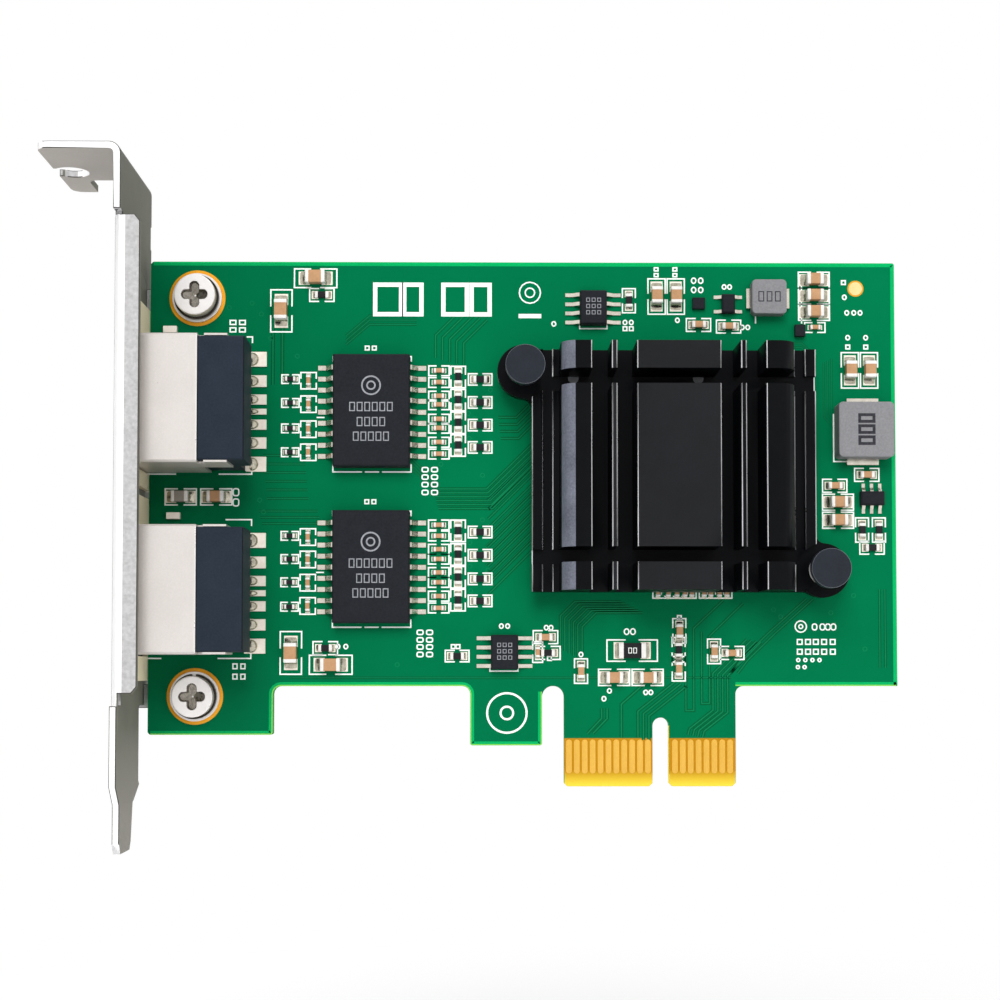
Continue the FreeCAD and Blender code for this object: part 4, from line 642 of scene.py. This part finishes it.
def bracketScrew(place):
    washerLow, washerHigh = boxOf("lock_washer_" + place)
    low, high = boxOf("bracket_screw_" + place)
    x, z = middleOf(washerLow, washerHigh)
    seat = front - washerLow[1]
    shank = [(screw["shank"], front - high[1]), (screw["shank"], seat)]
    return screwHead(x, z, seat, front - low[1]) + [turnedRound(x, z, shank, count=32)]


footSolder = {"inset": 0.72, "radiusX": 0.85, "shareZ": 0.45, "low": 0.22, "rise": 0.55}


def solderBulb(low, high):
    # oval dome: radius falls with the cosine while the height climbs with the sine
    x, z = low[0] + footSolder["inset"], (low[2] + high[2]) / 2
    radiusX, radiusZ = footSolder["radiusX"], (high[2] - low[2]) * footSolder["shareZ"]
    climb = np.linspace(0, 0.46 * math.pi, 7)[:, None]
    angle = fullTurn(20)
    return loft(placed(x + radiusX * np.cos(climb) * np.cos(angle),
                       footSolder["low"] + footSolder["rise"] * np.sin(climb),
                       z + radiusZ * np.cos(climb) * np.sin(angle)))


for place in places:
    dressed("flat_washer_" + place, "steel", "steel", 0.06)
    dressed("lock_washer_" + place, "darkSteel", "dark_steel", 0.1)
    newPiece("bracketScrew_" + place, bracketScrew(place), "steel recessSteel", "steel",
             "bracket_screw_" + place)
    dressed("jack_gasket_" + place, "gasketBrass", "gasket_brass", 0.04)
    # the shield's upright edges wear a painted highlight
    dressed("jack_shield_" + place, "tinplate tinplateEdge", "tinplate", 0.1, paintedEdges="upright")
    # the housing's upright edges wear a painted shade line
    dressed("jack_housing_" + place, "jackPlastic jackRim", "black_moulding", 0.1,
            paintedEdges="upright")
    dressed("jack_contacts_" + place, "goldPlate", "gold", 0)
    dressed("jack_feet_" + place, "landTin", "tin", 0.04)
    newPiece("jackSolder_" + place,
             [solderBulb(*pair) for pair in solidBoxes("jack_feet_" + place)], "solder", "tin")
print("bracket and jacks made")

# heat sink group

sink = {"blockLeft": -7.5, "blockRight": 5.5, "finRight": -8, "ejectorRadius": 0.68,
        "ejectorFloor": 1.5, "ejectorZ": 51.35, "ejectorX": (-11.2, 4.5)}


def sinkFace(face):
    # painted light: the middle block's front and the left outer fin's curved flank (a painted
    # highlight) are painted lighter than the rest, which wears a painted shade
    normal, x = face.normal, face.calc_center_median().x * 1000
    if normal.y < -0.9 and sink["blockLeft"] < x < sink["blockRight"]:
        return 0
    return 2 if normal.x < -0.25 and normal.y < -0.25 and x < sink["finRight"] else 1


def ejectorMarks():
    floor = front - boxOf("heatsink")[1][1] + sink["ejectorFloor"]
    radius = sink["ejectorRadius"]
    profile = [(radius, floor - 0.05), (radius, floor + 0.02), (0.2, floor + 0.05)]
    return [turnedRound(x, sink["ejectorZ"], profile, count=24) for x in sink["ejectorX"]]


# its long upright edges wear a painted highlight
dressed("heatsink", "heatsinkBlack heatsinkDeep heatsinkFlank heatsinkEdge",
        "black_aluminium", bevel=0.05, segments=1, sharp=50, name="heatSink", chosen=sinkFace,
        paintedEdges="upright", paintedEdgeWidth=0.13)
newPiece("ejectorMarks", ejectorMarks(), "ejectorMark", "black_aluminium")
dressed("controller_chip", "packagePlastic", "package", 0.1)
dressed("thermal_pad", "thermalRubber", "thermal_rubber", 0.05)

spring = {"turns": 4.0, "wire": 0.22, "points": 12, "steps": 160}
pin = {"rimGap": 0.02, "rimWidth": 0.07, "dot": 0.12}


def coil(low, high):
    # circle carried along a helix; its pitch closes up over the first and last half turn
    x, z = middleOf(low, high)
    wire, bottom, top = spring["wire"], front - high[1], front - low[1]
    share = np.linspace(0, 1, spring["steps"])[:, None]
    angle = share * spring["turns"] * 2 * math.pi
    height = bottom + wire + (top - bottom - 2 * wire) * np.clip((share - 0.1) / 0.8, 0, 1)
    around = fullTurn(spring["points"])
    reach = (high[0] - low[0]) / 2 - wire + wire * np.cos(around)
    return loft(placed(x + reach * np.cos(angle), height + wire * np.sin(around),
                       z + reach * np.sin(angle)))


def pinGlints(place):
    # painted highlights: a thin rim round the head and a dot in its middle
    x, z = middleOf(*boxOf("pin_spring_" + place))
    low, high = boxOf("push_pin_" + place)
    top, outer = front - low[1], (high[0] - low[0]) / 2 - pin["rimGap"]
    inner, dot = outer - pin["rimWidth"], pin["dot"]
    rim = [(inner, top - 0.08), (outer, top - 0.08), (outer - 0.01, top - 0.014),
           (inner, top - 0.002)]
    return [ringRound(x, z, rim),
            turnedRound(x, z, [(dot, top - 0.05), (dot, top - 0.01), (0.1, top - 0.002)],
                        count=16)]


for place in places:
    dressed("push_pin_" + place, "pinPlastic", "black_moulding", 0.08)
    newPiece("pinSpring_" + place, [coil(*boxOf("pin_spring_" + place))], "steel", "steel",
             "pin_spring_" + place)
    newPiece("pinRim_" + place, pinGlints(place), "pinRim", "black_moulding")
print("heat sink group made")

# packages and their leads

for place in places:
    dressed("magnetics_" + place, "packagePlastic", "package", 0.09)
    dressed("magnetics_leads_" + place, "tin", "tin", 0.05)
    dressed("memory_chip_" + place, "packagePlastic", "package", 0.06)
    dressed("memory_leads_" + place, "tin", "tin", 0.04)
dressed("small_chips", "packagePlastic", "package", 0.05)
dressed("small_chip_leads", "tin", "tin", 0.03)
dressed("tiny_transistors", "packagePlastic", "package", 0.04)
dressed("inductor_small", "ferrite", "ferrite", 0.2, segments=3)
dressed("inductor_large", "ferrite", "ferrite", 0.3, segments=3)
dressed("inductor_terminals", "tin", "tin", 0.04)
dressed("status_lamps", "lampBody", "lamp", 0.06)

# chip parts: body, plated ends, solder and lands

# size classes by length: plated end, land length and width beyond the part
chipClass = (
    {"longest": 1.45, "end": 0.27, "land": 0.27, "broader": 0.02},
    {"longest": 1.9, "end": 0.38, "land": 0.42, "broader": 0.1},
    {"longest": 2.3, "end": 0.42, "land": 0.88, "broader": 0.08},
    {"longest": 3.0, "end": 0.45, "land": 0.92, "broader": 0.07},
    {"longest": 9.0, "end": 0.62, "land": 0.6, "broader": 0.1},
)
chip = {"lift": 0.03, "bodyInset": 0.025, "landTop": 0.035, "solderTop": 0.75,
        "greyX": -60.7, "greyZ": 36.7}


def chipShape(low, high):
    # middle, whether it lies along Z, length and width
    sizeX, sizeZ = high[0] - low[0], high[2] - low[2]
    return *middleOf(low, high), sizeZ > sizeX, max(sizeX, sizeZ), min(sizeX, sizeZ)


def chipPart(low, high):
    x, z, turned, length, width = chipShape(low, high)
    height, half = front - low[1], length / 2
    own = next(entry for entry in chipClass if length < entry["longest"])
    end, lift = own["end"], chip["lift"]
    landHalf = width / 2 + own["broader"]
    parts = []

    def addLoft(rings, mark):
        # rings come as (along, across, height); turned parts lie along Z
        alongPart, across, rise = np.moveaxis(np.asarray(rings, float), -1, 0)
        flat = (across, alongPart) if turned else (alongPart, across)
        parts.append(loft(placed(x + flat[0], rise, z + flat[1]), mark))

    def profile(station, inset, radius):
        a, b = roundedLoop(width / 2 - inset, (height - lift) / 2 - inset, radius)
        return np.stack([np.full(a.shape, station), a, lift + (height - lift) / 2 + b], -1)

    grey = math.hypot(x - chip["greyX"], z - chip["greyZ"]) < 1.2
    body = half - end * 0.6
    addLoft([profile(station, chip["bodyInset"], 0.05) for station in (-body, body)],
            4 if grey else 0)
    for sign in (-1, 1):
        addLoft([profile(sign * (half - back), inset, radius) for back, inset, radius in (
            (end, 0.008, 0.08), (end - 0.03, 0, 0.08), (0.08, 0, 0.08), (0.02, 0.03, 0.08),
            (0, 0.08, 0.06))], 1)
        # land: thin slab from under the plated end to its outer edge
        addLoft([[(sign * station, -landHalf, -0.01), (sign * station, landHalf, -0.01),
                  (sign * station, landHalf - 0.02, chip["landTop"]),
                  (sign * station, 0.02 - landHalf, chip["landTop"])]
                 for station in (half - end - 0.05, half + own["land"])], 2)
        # solder: a hollow quarter curve from the plated end down to the land
        bend = np.linspace(0, math.pi / 2, 5)
        climb, run = min(height * 0.62, chip["solderTop"]), own["land"] * 0.86
        rings = []
        for across, share in ((-1.0, 0.35), (-0.8, 0.85), (0.0, 1.0), (0.8, 0.85), (1.0, 0.35)):
            outwards = half - 0.03 + run * (1 - np.cos(bend)) * (0.75 + 0.25 * share)
            upwards = 0.03 + climb * share * (1 - np.sin(bend))
            outwards = np.array([half * 0.98 - 0.05, *outwards, outwards[-1]])
            upwards = np.array([0.02, *upwards, 0.02])
            sideways = np.full(len(upwards), across * width / 2)
            rings.append(np.stack([sign * outwards, sideways, upwards], -1))
        addLoft(rings, 3)
    return parts


chipShapes = []
for node, body, slotName in (("ceramic_capacitors", "ceramicBrown", "ceramic"),
                             ("small_capacitors", "ceramicBrown", "ceramic"),
                             ("chip_resistors", "resistorBlack", "resistor"),
                             ("shunt_resistor", "resistorBlack", "resistor")):
    solids = solidBoxes(node)
    chipShapes += [chipShape(*pair) for pair in solids]
    newPiece(pieceName(node), [part for pair in solids for part in chipPart(*pair)],
             body + " chipEnd landTin solder ceramicGrey", slotName, node)
print("chip parts made:", len(chipShapes))

# white board marks

screenPrint = {"line": 0.17, "low": -0.01, "high": 0.02, "bold": 0.55, "boldLow": 60.1,
               "boldHigh": 63.9, "hiddenLow": 24.2, "hiddenHigh": 25.2}


def line(path, closed=False, width=screenPrint["line"]):
    return ribbon(path, width, screenPrint["low"], screenPrint["high"], closed=closed)


def outlineSize(x, turned, length):
    # long side, short side and half of the opening of the marks round a part
    if length < 1.45:
        if x < -46:
            return 2.2, 1.1, 0.2
        return (2.1, 1.95, 0.25) if x < -44 else (2.6, 1.25, 0.3)
    if length < 1.9:
        if -26.5 < x < -22:
            return (2.75, 1.85, 0.3) if turned else (3.0, 1.45, 0.3)
        return 3.1, 1.65, 0.35
    if length < 2.3:
        return (4.55, 2.2, 0.36) if turned else (3.95, 2.05, 0.36)
    if length < 3:
        return (5.4, 2.7, 0.56) if turned else (5.4, 2.4, 0.56)
    return 6.4, 2.7, 0.83


def partOutline(x, z, turned, length, width):
    # two facing brackets round a part, open in the middle of the long sides
    longSide, shortSide, opening = outlineSize(x, turned, length)
    halfLong, halfShort = longSide / 2, shortSide / 2
    parts = []
    for sign in (-1, 1):
        path = np.array([(sign * opening, -halfShort), (sign * halfLong, -halfShort),
                         (sign * halfLong, halfShort), (sign * opening, halfShort)])
        parts.append(line((path[:, ::-1] if turned else path) + (x, z)))
    return parts


def combMarks(start, end, count):
    # frame with short bars, half under the heat sink's lower edge
    bars = np.linspace(start, end, count * 2 + 1)
    return ([line([(start, 25.4), (start, 23.85), (end, 23.85), (end, 25.4)])]
            + [line([(x, 24.3), (x, 25.4)], width=0.14) for x in bars[2:-1:2]]
            + [line([(x - 0.22, 24.1), (x + 0.22, 24.1)], width=0.14) for x in bars[1::2]])


def jackOutline(place, above, below, run, shortEnd):
    edge = boxOf("jack_housing_upper")[1][0] - 0.6
    middle = middleOf(*boxOf("jack_housing_" + place))[1]
    top, bottom = middle + above, middle - below
    return [line([(edge - run, top), (edge, top), (edge, top - 0.8)]),
            line([(edge - 4.2, bottom), (edge, bottom), (edge, bottom + 0.7)]),
            line([(edge - 15.2, bottom), (edge - shortEnd, bottom)])]


def magneticsOutline(place):
    low, high = boxOf("magnetics_" + place)
    bottom, top = low[2] - 0.5, high[2] + 0.05
    parts = [line([(low[0] + 3.95, bottom), (high[0] - 3.95, bottom)]),
             line([(low[0] - 2.2, low[2] + 6.45), (low[0] - 1.2, low[2] + 6.45)])]
    for sign, x in ((-1, low[0] - 0.12), (1, high[0] + 0.12)):
        parts.append(line([(x - sign * 3.7, bottom), (x, bottom), (x, low[2] + 0.5)]))
        parts.append(line([(x - sign * 0.5, top), (x, top), (x, high[2] - 0.6)]))
    return parts


def partOutlines():
    parts = []
    for x, z, *others in chipShapes:
        if x < -2 or not screenPrint["hiddenLow"] < z < screenPrint["hiddenHigh"]:
            parts += partOutline(x, z, *others)
    parts += combMarks(-0.95, 4.55, 5) + combMarks(4.95, 9.1, 4)
    parts += jackOutline("upper", 9.6, 7.95, 0.75, 9.6)
    parts += jackOutline("lower", 9.35, 8.25, 3.3, 11.3)
    parts += magneticsOutline("upper") + magneticsOutline("lower")
    return parts + [line(path) for path in (
        [(-21.65, 15.2), (-21.65, 14.6), (-18.1, 14.6), (-18.1, 15.2)],
        [(-10.2, 58.8), (-10.2, 58.3), (-6.7, 58.3), (-6.7, 58.8)],
        [(22.2, 47.4), (22.2, 41.3), (24.4, 41.3)],
        [(12.3, 59.0), (12.3, 64.6)], [(18.2, 59.0), (18.2, 64.6)])]


newPiece("partOutlines", partOutlines(), "paint", "board", smooth=False)


def rings(spots, radiusX, radiusZ, squareness=0.0):
    # ovals: cosine and sine raised to a power below 1, which squares them
    angle = fullTurn(16)
    wide, tall = (np.sign(wave) * np.abs(wave) ** (1 - squareness)
                  for wave in (np.cos(angle), np.sin(angle)))
    return [line(np.stack([x + radiusX * wide, z + radiusZ * tall], -1), closed=True)
            for x, z in spots]


def boxes(spots, halfX, halfZ):
    return [line(boxPath(x, z, halfX, halfZ), closed=True) for x, z in spots]


def grid(xs, zs):
    return [(x, z) for x in xs for z in zs]


singleRings = (
    (8.3, 63.7), (9.0, 63.7), (10.6, 58.5), (11.3, 58.5), (-4.4, 59.1), (-3.6, 59.1),
    (-13.5, 58.9), (2.3, 59.4), (-10.1, 16.7), (-14.5, 20.1), (-13.9, 20.1), (-20.2, 20.3),
    (-19.4, 20.3), (-6.5, 12.1), (-7.2, 11.1), (-1.9, 11.9), (-1.25, 11.9), (24.0, 60.4),
    (24.9, 60.4), (25.7, 60.4), (23.7, 62.4), (-40.9, 17.7), (-39.9, 17.7), (24.1, 57.2),
    (26.4, 57.2))
singleBoxes = (
    (-4.4, 58.3), (-3.6, 58.3), (2.4, 21.4), (-14.1, 16.2), (-26.3, 17.7), (-25.7, 17.7),
    (23.6, 64.3), (24.1, 56.0), (26.4, 56.0), (-37.3, 55.75), (-36.4, 55.75), (-37.3, 36.1),
    (-36.4, 36.1))


def boardMarks():
    # plain rings, squares and bars
    parts = rings(grid((-29.9, -28.7), (40.2, 39.25, 38.3, 37.3)), 0.38, 0.28, 0.45)
    parts += rings(grid((-30.5, -29.3), (19.5, 18.55, 17.65, 16.7)), 0.38, 0.28, 0.45)
    parts += boxes(grid((-54.4, -53.2), (59.0, 58.05)), 0.36, 0.26)
    parts += boxes(grid((-53.9, -52.9), (15.2, 13.9)), 0.26, 0.3)
    parts += rings([(-53.9, 37.3), (-53.9, 36.0)], 0.36, 0.45, 0.4)
    parts += boxes(grid((-0.4, 2.0), (65.95, 65.2)), 0.24, 0.2)
    parts += rings(grid((4.4, 5.3), (64.5, 63.3)), 0.28, 0.34)
    parts += rings(singleRings, 0.24, 0.28)
    parts += rings([(-4.3, 19.6), (-3.5, 19.6)], 0.3, 0.36)
    parts += boxes(singleBoxes, 0.24, 0.24)
    # beside the heat sink's lower corner
    parts += rings([(17.85, 20.25)], 0.72, 0.72) + rings([(17.85, 20.25)], 0.25, 0.25)
    parts += rings(grid((19.6, 20.6, 21.3, 22.0), (20.2,)), 0.3, 0.38, 0.2)
    parts += boxes(grid((17.7, 18.75, 19.75, 20.8, 21.9), (18.3, 17.05)), 0.3, 0.3)
    parts += rings(grid((17.5, 18.4, 19.3, 20.2), (16.0,)), 0.2, 0.2)
    parts += rings(grid((17.45, 18.3), (15.1,)), 0.2, 0.2)
    # on the middle foot
    parts += [line(circlePath(-19.5, 9.3, radius, count), closed=True, width=0.26)
              for radius, count in ((2.5, 48), (0.8, 24))]
    # along the upper edge
    low, high, bold = (screenPrint[key] for key in ("boldLow", "boldHigh", "bold"))
    parts += [line([(left, low), (right, low), (right, high), (left, high)], True, bold)
              for left, right in ((-36.3, -33.0), (-32.6, -30.4), (-27.6, -24.6),
                                  (-24.0, -21.7))]
    parts += rings([(-16.55, 62.9)], 1.35, 1.35) + rings([(-16.55, 62.9)], 0.6, 0.6)
    return parts + [line([(-18.0, 59.9), (-15.1, 59.9)], width=bold)]


newPiece("boardMarks", boardMarks(), "paint", "board", smooth=False)

topPrint = {"sink": 0.02, "rise": 0.004, "rings": (1.15, 0.5), "ringAbove": 3.1,
            "ringWidth": 0.2}


def onTop(node, path, width, mark=0):
    top = front - boxOf(node)[0][1]
    return ribbon(path, width, top - topPrint["sink"], top + topPrint["rise"], mark, True)


def topMarks(node, rows, halfX=0.3, halfZ=0.52, pitch=0.95, mark=0, upright=True):
    # rows of small plain squares on the top of a part: how many, and how far above its middle
    x, z = middleOf(*boxOf(node))
    parts = []
    for count, rise in rows:
        for step in (np.arange(count) - (count - 1) / 2) * pitch:
            spot = (x + step, z + rise) if upright else (x + rise, z + step)
            parts.append(onTop(node, boxPath(*spot, halfX, halfZ), halfX * 0.42, mark))
    return parts


def chipMarks():
    parts = []
    for place in places:
        node = "magnetics_" + place
        x, z = middleOf(*boxOf(node))
        parts += topMarks(node, ((6, 0.4), (4, -1.5), (5, -3.35)))
        parts += [onTop(node, circlePath(x, z + topPrint["ringAbove"], radius, 32),
                        topPrint["ringWidth"]) for radius in topPrint["rings"]]
        parts += topMarks("memory_chip_" + place, ((3, 0.9), (3, 0.1), (3, -0.7)), 0.2, 0.22, 0.7)
    parts += topMarks("inductor_small", ((3, 0.0),), 0.3, 0.6, 1.05, mark=1)
    parts += topMarks("inductor_large", ((3, 0.0),), 0.9, 0.42, 1.4, mark=1, upright=False)
    return parts + topMarks("shunt_resistor", ((2, 0.0),), 0.19, 0.32, 0.62, mark=2)


newPiece("chipMarks", chipMarks(), "engraved engravedDark paint", "package", smooth=False)
print("board and chip marks made")

# tracks under the mask

tracks = {"low": -0.01, "high": 0.004, "ridge": 0.008, "ridgeShare": 0.36, "viaRadius": 0.26,
          "viaWidth": 0.12}
frontRoutes = (
    # corners, how many side by side, step to the next one in x and z, width
    ([(-29.0, 37.75), (-22.1, 37.75), (-16.3, 43.5)], 6, 0.16, -0.5),
    ([(-21.9, 36.3), (-16.3, 41.9)], 11, 0.0, -1.2),
    ([(-22.2, 31.6), (-16.3, 37.5)], 6, 0.0, -1.2, 0.25),
    ([(-20.6, 46.9), (-18.3, 46.9), (-16.4, 48.8)], 4, 0.1, -0.9),
    ([(-41.4, 41.6), (-31.5, 41.6), (-28.6, 38.7)], 4, 0.1, -0.55, 0.3),
    ([(-50.5, 42.0), (-45.2, 42.0)], 6, 0.1, -1.1, 0.35),
    ([(-51.0, 34.9), (-46.0, 34.9), (-43.5, 34.9)], 3, 0.2, -0.8, 0.35),
    ([(-49.3, 51.0), (-49.3, 61.0)], 2, 1.2, 0.0, 0.5),
    ([(-28.6, 54.5), (-28.6, 57.4), (-25.6, 60.4)], 5, 0.9, -0.25),
    ([(-40.0, 56.2), (-37.0, 58.8), (-31.0, 58.8)], 3, 0.0, 0.55, 0.35),
    ([(-12.7, 17.4), (-12.7, 21.6), (-10.9, 23.4), (-5.0, 23.4)], 6, 0.55, -0.28),
    ([(-2.35, 12.75), (-5.0, 10.4), (-5.0, 6.2)], 1, 0, 0, 0.45),
    ([(1.9, 13.3), (-2.9, 9.5), (-2.9, 6.2)], 3, 0.7, -0.3, 0.45),
    ([(-7.5, 9.9), (-7.5, 8.6), (-9.3, 6.7)], 2, 0.7, 0.0, 0.45),
    ([(12.8, 18.3), (8.5, 14.0), (8.5, 9.35), (5.5, 7.0), (5.3, 6.2)], 4, -0.62, 0.1, 0.42),
    ([(18.6, 23.8), (13.7, 19.4), (10.2, 16.0), (8.9, 14.3)], 2, 0.9, 0.0),
    ([(3.2, 20.0), (3.2, 9.6), (4.2, 9.6), (4.2, 20.0), (8.0, 23.6)], 1, 0, 0),
    ([(5.2, 19.6), (5.2, 10.5), (6.2, 10.5), (6.2, 19.0), (10.5, 23.2)], 1, 0, 0),
    ([(-47.0, 13.75), (9.0, 13.75)], 1, 0, 0, 0.3),
    ([(21.0, 54.0), (21.0, 47.0), (22.6, 45.2)], 3, 0.5, 0.25, 0.25),
    ([(13.0, 55.4), (18.0, 55.4), (20.0, 53.4)], 3, 0.1, 0.55, 0.3),
    ([(27.9, 25.0), (27.9, 15.0)], 2, 0.7, 0.0, 0.35),
)
backRoutes = (
    ([(-10.5, 6.3), (-10.5, 12.0), (-24.0, 25.5), (-24.0, 38.0)], 4, 0.9, 0.0),
    ([(-46.0, 48.0), (-30.0, 48.0), (-23.0, 41.0)], 6, 0.1, -1.1),
    ([(-46.0, 28.0), (-32.0, 28.0), (-25.5, 34.5)], 6, 0.1, 1.1),
    ([(4.0, 6.3), (4.0, 14.0), (12.0, 22.0), (12.0, 36.0)], 3, 1.0, 0.0, 0.45),
    ([(-12.0, 60.0), (8.0, 60.0), (16.0, 52.0)], 2, 0.3, -1.0, 0.7),
)
vias = (
    (-52.0, 61.5), (-50.8, 60.1), (-49.6, 57.0), (-54.9, 60.9), (-24.4, 47.4), (-23.6, 46.7),
    (-24.3, 44.2), (-23.4, 43.7), (-22.6, 39.5), (-27.9, 40.9), (-22.2, 49.5), (-21.6, 50.4),
    (-24.2, 30.9), (-24.2, 27.9), (-21.9, 27.4), (-24.1, 24.8), (-22.6, 33.8), (-50.9, 36.3),
    (-50.4, 34.8), (14.4, 22.4), (15.3, 21.5), (24.6, 24.2), (21.7, 22.0), (26.0, 17.4),
    (-33.4, 15.4), (-46.2, 54.7))


def bundle(path, count, shiftX, shiftZ, width=0.4, side=-1):
    # the same route beside itself, each track with a narrow lighter ridge on it
    parts = []
    for step in range(count):
        route = np.array(path) + (step * shiftX, step * shiftZ)
        parts.append(ribbon(route, width, tracks["low"], tracks["high"], 0, side=side))
        parts.append(ribbon(route, width * tracks["ridgeShare"], tracks["low"],
                            tracks["ridge"], 1, side=side))
    return parts


def maskTracks():
    parts = []
    for side, routes in ((-1, frontRoutes), (1, backRoutes)):
        for route in routes:
            parts += bundle(*route, side=side)
        parts += [ribbon(circlePath(x, z, tracks["viaRadius"], 12), tracks["viaWidth"],
                         tracks["low"], tracks["ridge"], 1, True, side) for x, z in vias]
    return parts


newPiece("maskTracks", maskTracks(), "maskTrack maskRidge", "board", smooth=False)


def roundedPath(corners, steps=5):
    # corners (x, z, radius) become quarter arcs between straight sides
    path = []
    for index, (x, z, radius) in enumerate(corners):
        here = np.array([x, z], float)
        if not radius or index in (0, len(corners) - 1):
            path.append(here[None])
            continue
        before = np.array(corners[index - 1][:2]) - here
        after = np.array(corners[index + 1][:2]) - here
        before, after = before / np.linalg.norm(before), after / np.linalg.norm(after)
        share = np.linspace(0, math.pi / 2, steps)[:, None]
        path.append(here + radius * (before * (1 - np.sin(share)) + after * (1 - np.cos(share))))
    return np.concatenate(path)


def edgeBand():
    # a broad green band along the board's edge, and a thin bright rim on its outer side, a
    # painted highlight
    left, right, top = boardLow[0] + 0.35, boardHigh[0], boardHigh[2]
    routes = (
        ([(left, 6.55, 0), (-49.1, 6.55, 0.3), (-49.1, 12.7, 1.0), (-24.15, 12.7, 1.0),
          (-24.15, 5.2, 0.3), (-15.05, 5.2, 0.3), (-15.05, 12.0, 0)], 1),
        ([(9.5, 12.7, 0), (right, 12.7, 0)], 1),
        ([(right, 12.7, 0), (right, top, 0.3), (left, top, 0)], 2))
    band = board["edgeBand"]
    parts = []
    for side in (-1, 1):
        for corners, rimMark in routes:
            path = roundedPath(corners)
            step = np.gradient(path, axis=0)
            step /= np.linalg.norm(step, axis=1)[:, None]
            inward = np.stack([-step[:, 1], step[:, 0]], -1)
            for offset, width, height, mark in ((band / 2, band, 0.006, 0),
                                                (0.09, 0.12, 0.009, rimMark)):
                parts.append(ribbon(path + inward * offset, width, -0.01, height, mark,
                                    side=side))
    return parts


newPiece("edgeBand", edgeBand(), "maskEdge maskRim maskTop", "board", smooth=False)
print("tracks made")

# floor, light and camera

studio = {"floorDrop": 0.05, "floorHalf": 2.5, "floorTone": 0.94, "whiteFrom": 0.11,
          "whiteTo": 0.24, "worldDiffuse": 0.3, "worldSeen": 1.0}


def seenRays(tree):
    # 1 for rays that look at the background: straight, reflected or through glass
    rays = addNode(tree, "LightPath").outputs
    seen = rays["Is Camera Ray"]
    for name in ("Is Glossy Ray", "Is Transmission Ray"):
        seen = reckon(tree, "ADD", seen, rays[name], clamp=True)
    return seen


def stageFloor():
    half, z = studio["floorHalf"], cadLow.z - studio["floorDrop"]
    mesh = bpy.data.meshes.new("floor")
    mesh.from_pydata([(-half, -half, z), (half, -half, z), (half, half, z), (-half, half, z)],
                     [], [(0, 1, 2, 3)])
    material = bpy.data.materials.new("paleFloor")
    material.use_nodes = True
    tree = material.node_tree
    shader = tree.nodes["Principled BSDF"]
    shader.inputs["Base Color"].default_value = (*[studio["floorTone"]] * 3, 1)
    shader.inputs["Roughness"].default_value = 0.9
    shader.inputs["Specular IOR Level"].default_value = 0.1
    length = addNode(tree, "VectorMath", {0: objectPlace(tree)}, operation="LENGTH")
    # white takes over away from the shadow
    far = ranged(tree, length.outputs["Value"], studio["whiteFrom"], studio["whiteTo"])
    share = reckon(tree, "MULTIPLY", seenRays(tree), far)
    white = addNode(tree, "Emission", {"Color": (1, 1, 1, 1), "Strength": 1})
    blend = addNode(tree, "MixShader", {0: share, 1: shader.outputs[0], 2: white.outputs[0]})
    tree.links.new(blend.outputs[0], tree.nodes["Material Output"].inputs["Surface"])
    mesh.materials.append(material)
    floor = bpy.data.objects.new("floor", mesh)
    bpy.context.scene.collection.objects.link(floor)


def studioWorld():
    # white to the eye and in reflections; plain soft light on the object
    world = bpy.data.worlds.new("studio")
    bpy.context.scene.world = world
    world.use_nodes = True
    tree = world.node_tree
    backdrop = tree.nodes["Background"].inputs
    backdrop["Color"].default_value = (1, 1, 1, 1)
    given = {0: seenRays(tree), 2: studio["worldDiffuse"], 3: studio["worldSeen"]}
    strength = addNode(tree, "Mix", given, data_type="FLOAT")
    tree.links.new(strength.outputs[0], backdrop["Strength"])


def softLamp(name, x, y, z, size, power):
    # a square lamp aimed at the card; glossy surfaces show the plain world instead
    lamp = bpy.data.lights.new(name, "AREA")
    lamp.energy = power
    lamp.size = size
    holder = bpy.data.objects.new(name, lamp)
    holder.location = (x, y, z)
    holder.visible_glossy = False
    aim = cadLow.lerp(cadHigh, 0.5) - holder.location
    holder.rotation_euler = aim.to_track_quat("-Z", "Y").to_euler()
    bpy.context.scene.collection.objects.link(holder)


view = {"x": -22.642, "y": -219.149, "z": 15.271, "pitch": 0.0369, "yaw": -0.0104,
        "lens": 61.99, "shiftUp": 0.1022}


def placeCamera():
    camera = bpy.data.cameras.new("camera")
    camera.sensor_width = 36
    camera.lens = view["lens"]
    camera.shift_y = view["shiftUp"]
    camera.clip_start, camera.clip_end = 0.01, 20
    eye = bpy.data.objects.new("camera", camera)
    eye.location = [view[axis] * 0.001 for axis in "xyz"]
    eye.rotation_euler = (math.pi / 2 + view["pitch"], 0, view["yaw"])
    bpy.context.scene.collection.objects.link(eye)
    bpy.context.scene.camera = eye


stageFloor()
studioWorld()
softLamp("keyLamp", -0.08, -0.85, 0.55, 0.5, 7.0)
softLamp("fillLamp", 0.5, -0.85, 0.3, 0.5, 2.2)
softLamp("topLamp", -0.1, 0.0, 0.85, 0.6, 1.8)
softLamp("backLamp", -0.4, 0.8, 0.4, 0.6, 6.0)
placeCamera()
bpy.context.scene.view_settings.view_transform = "Standard"
print("stage set")
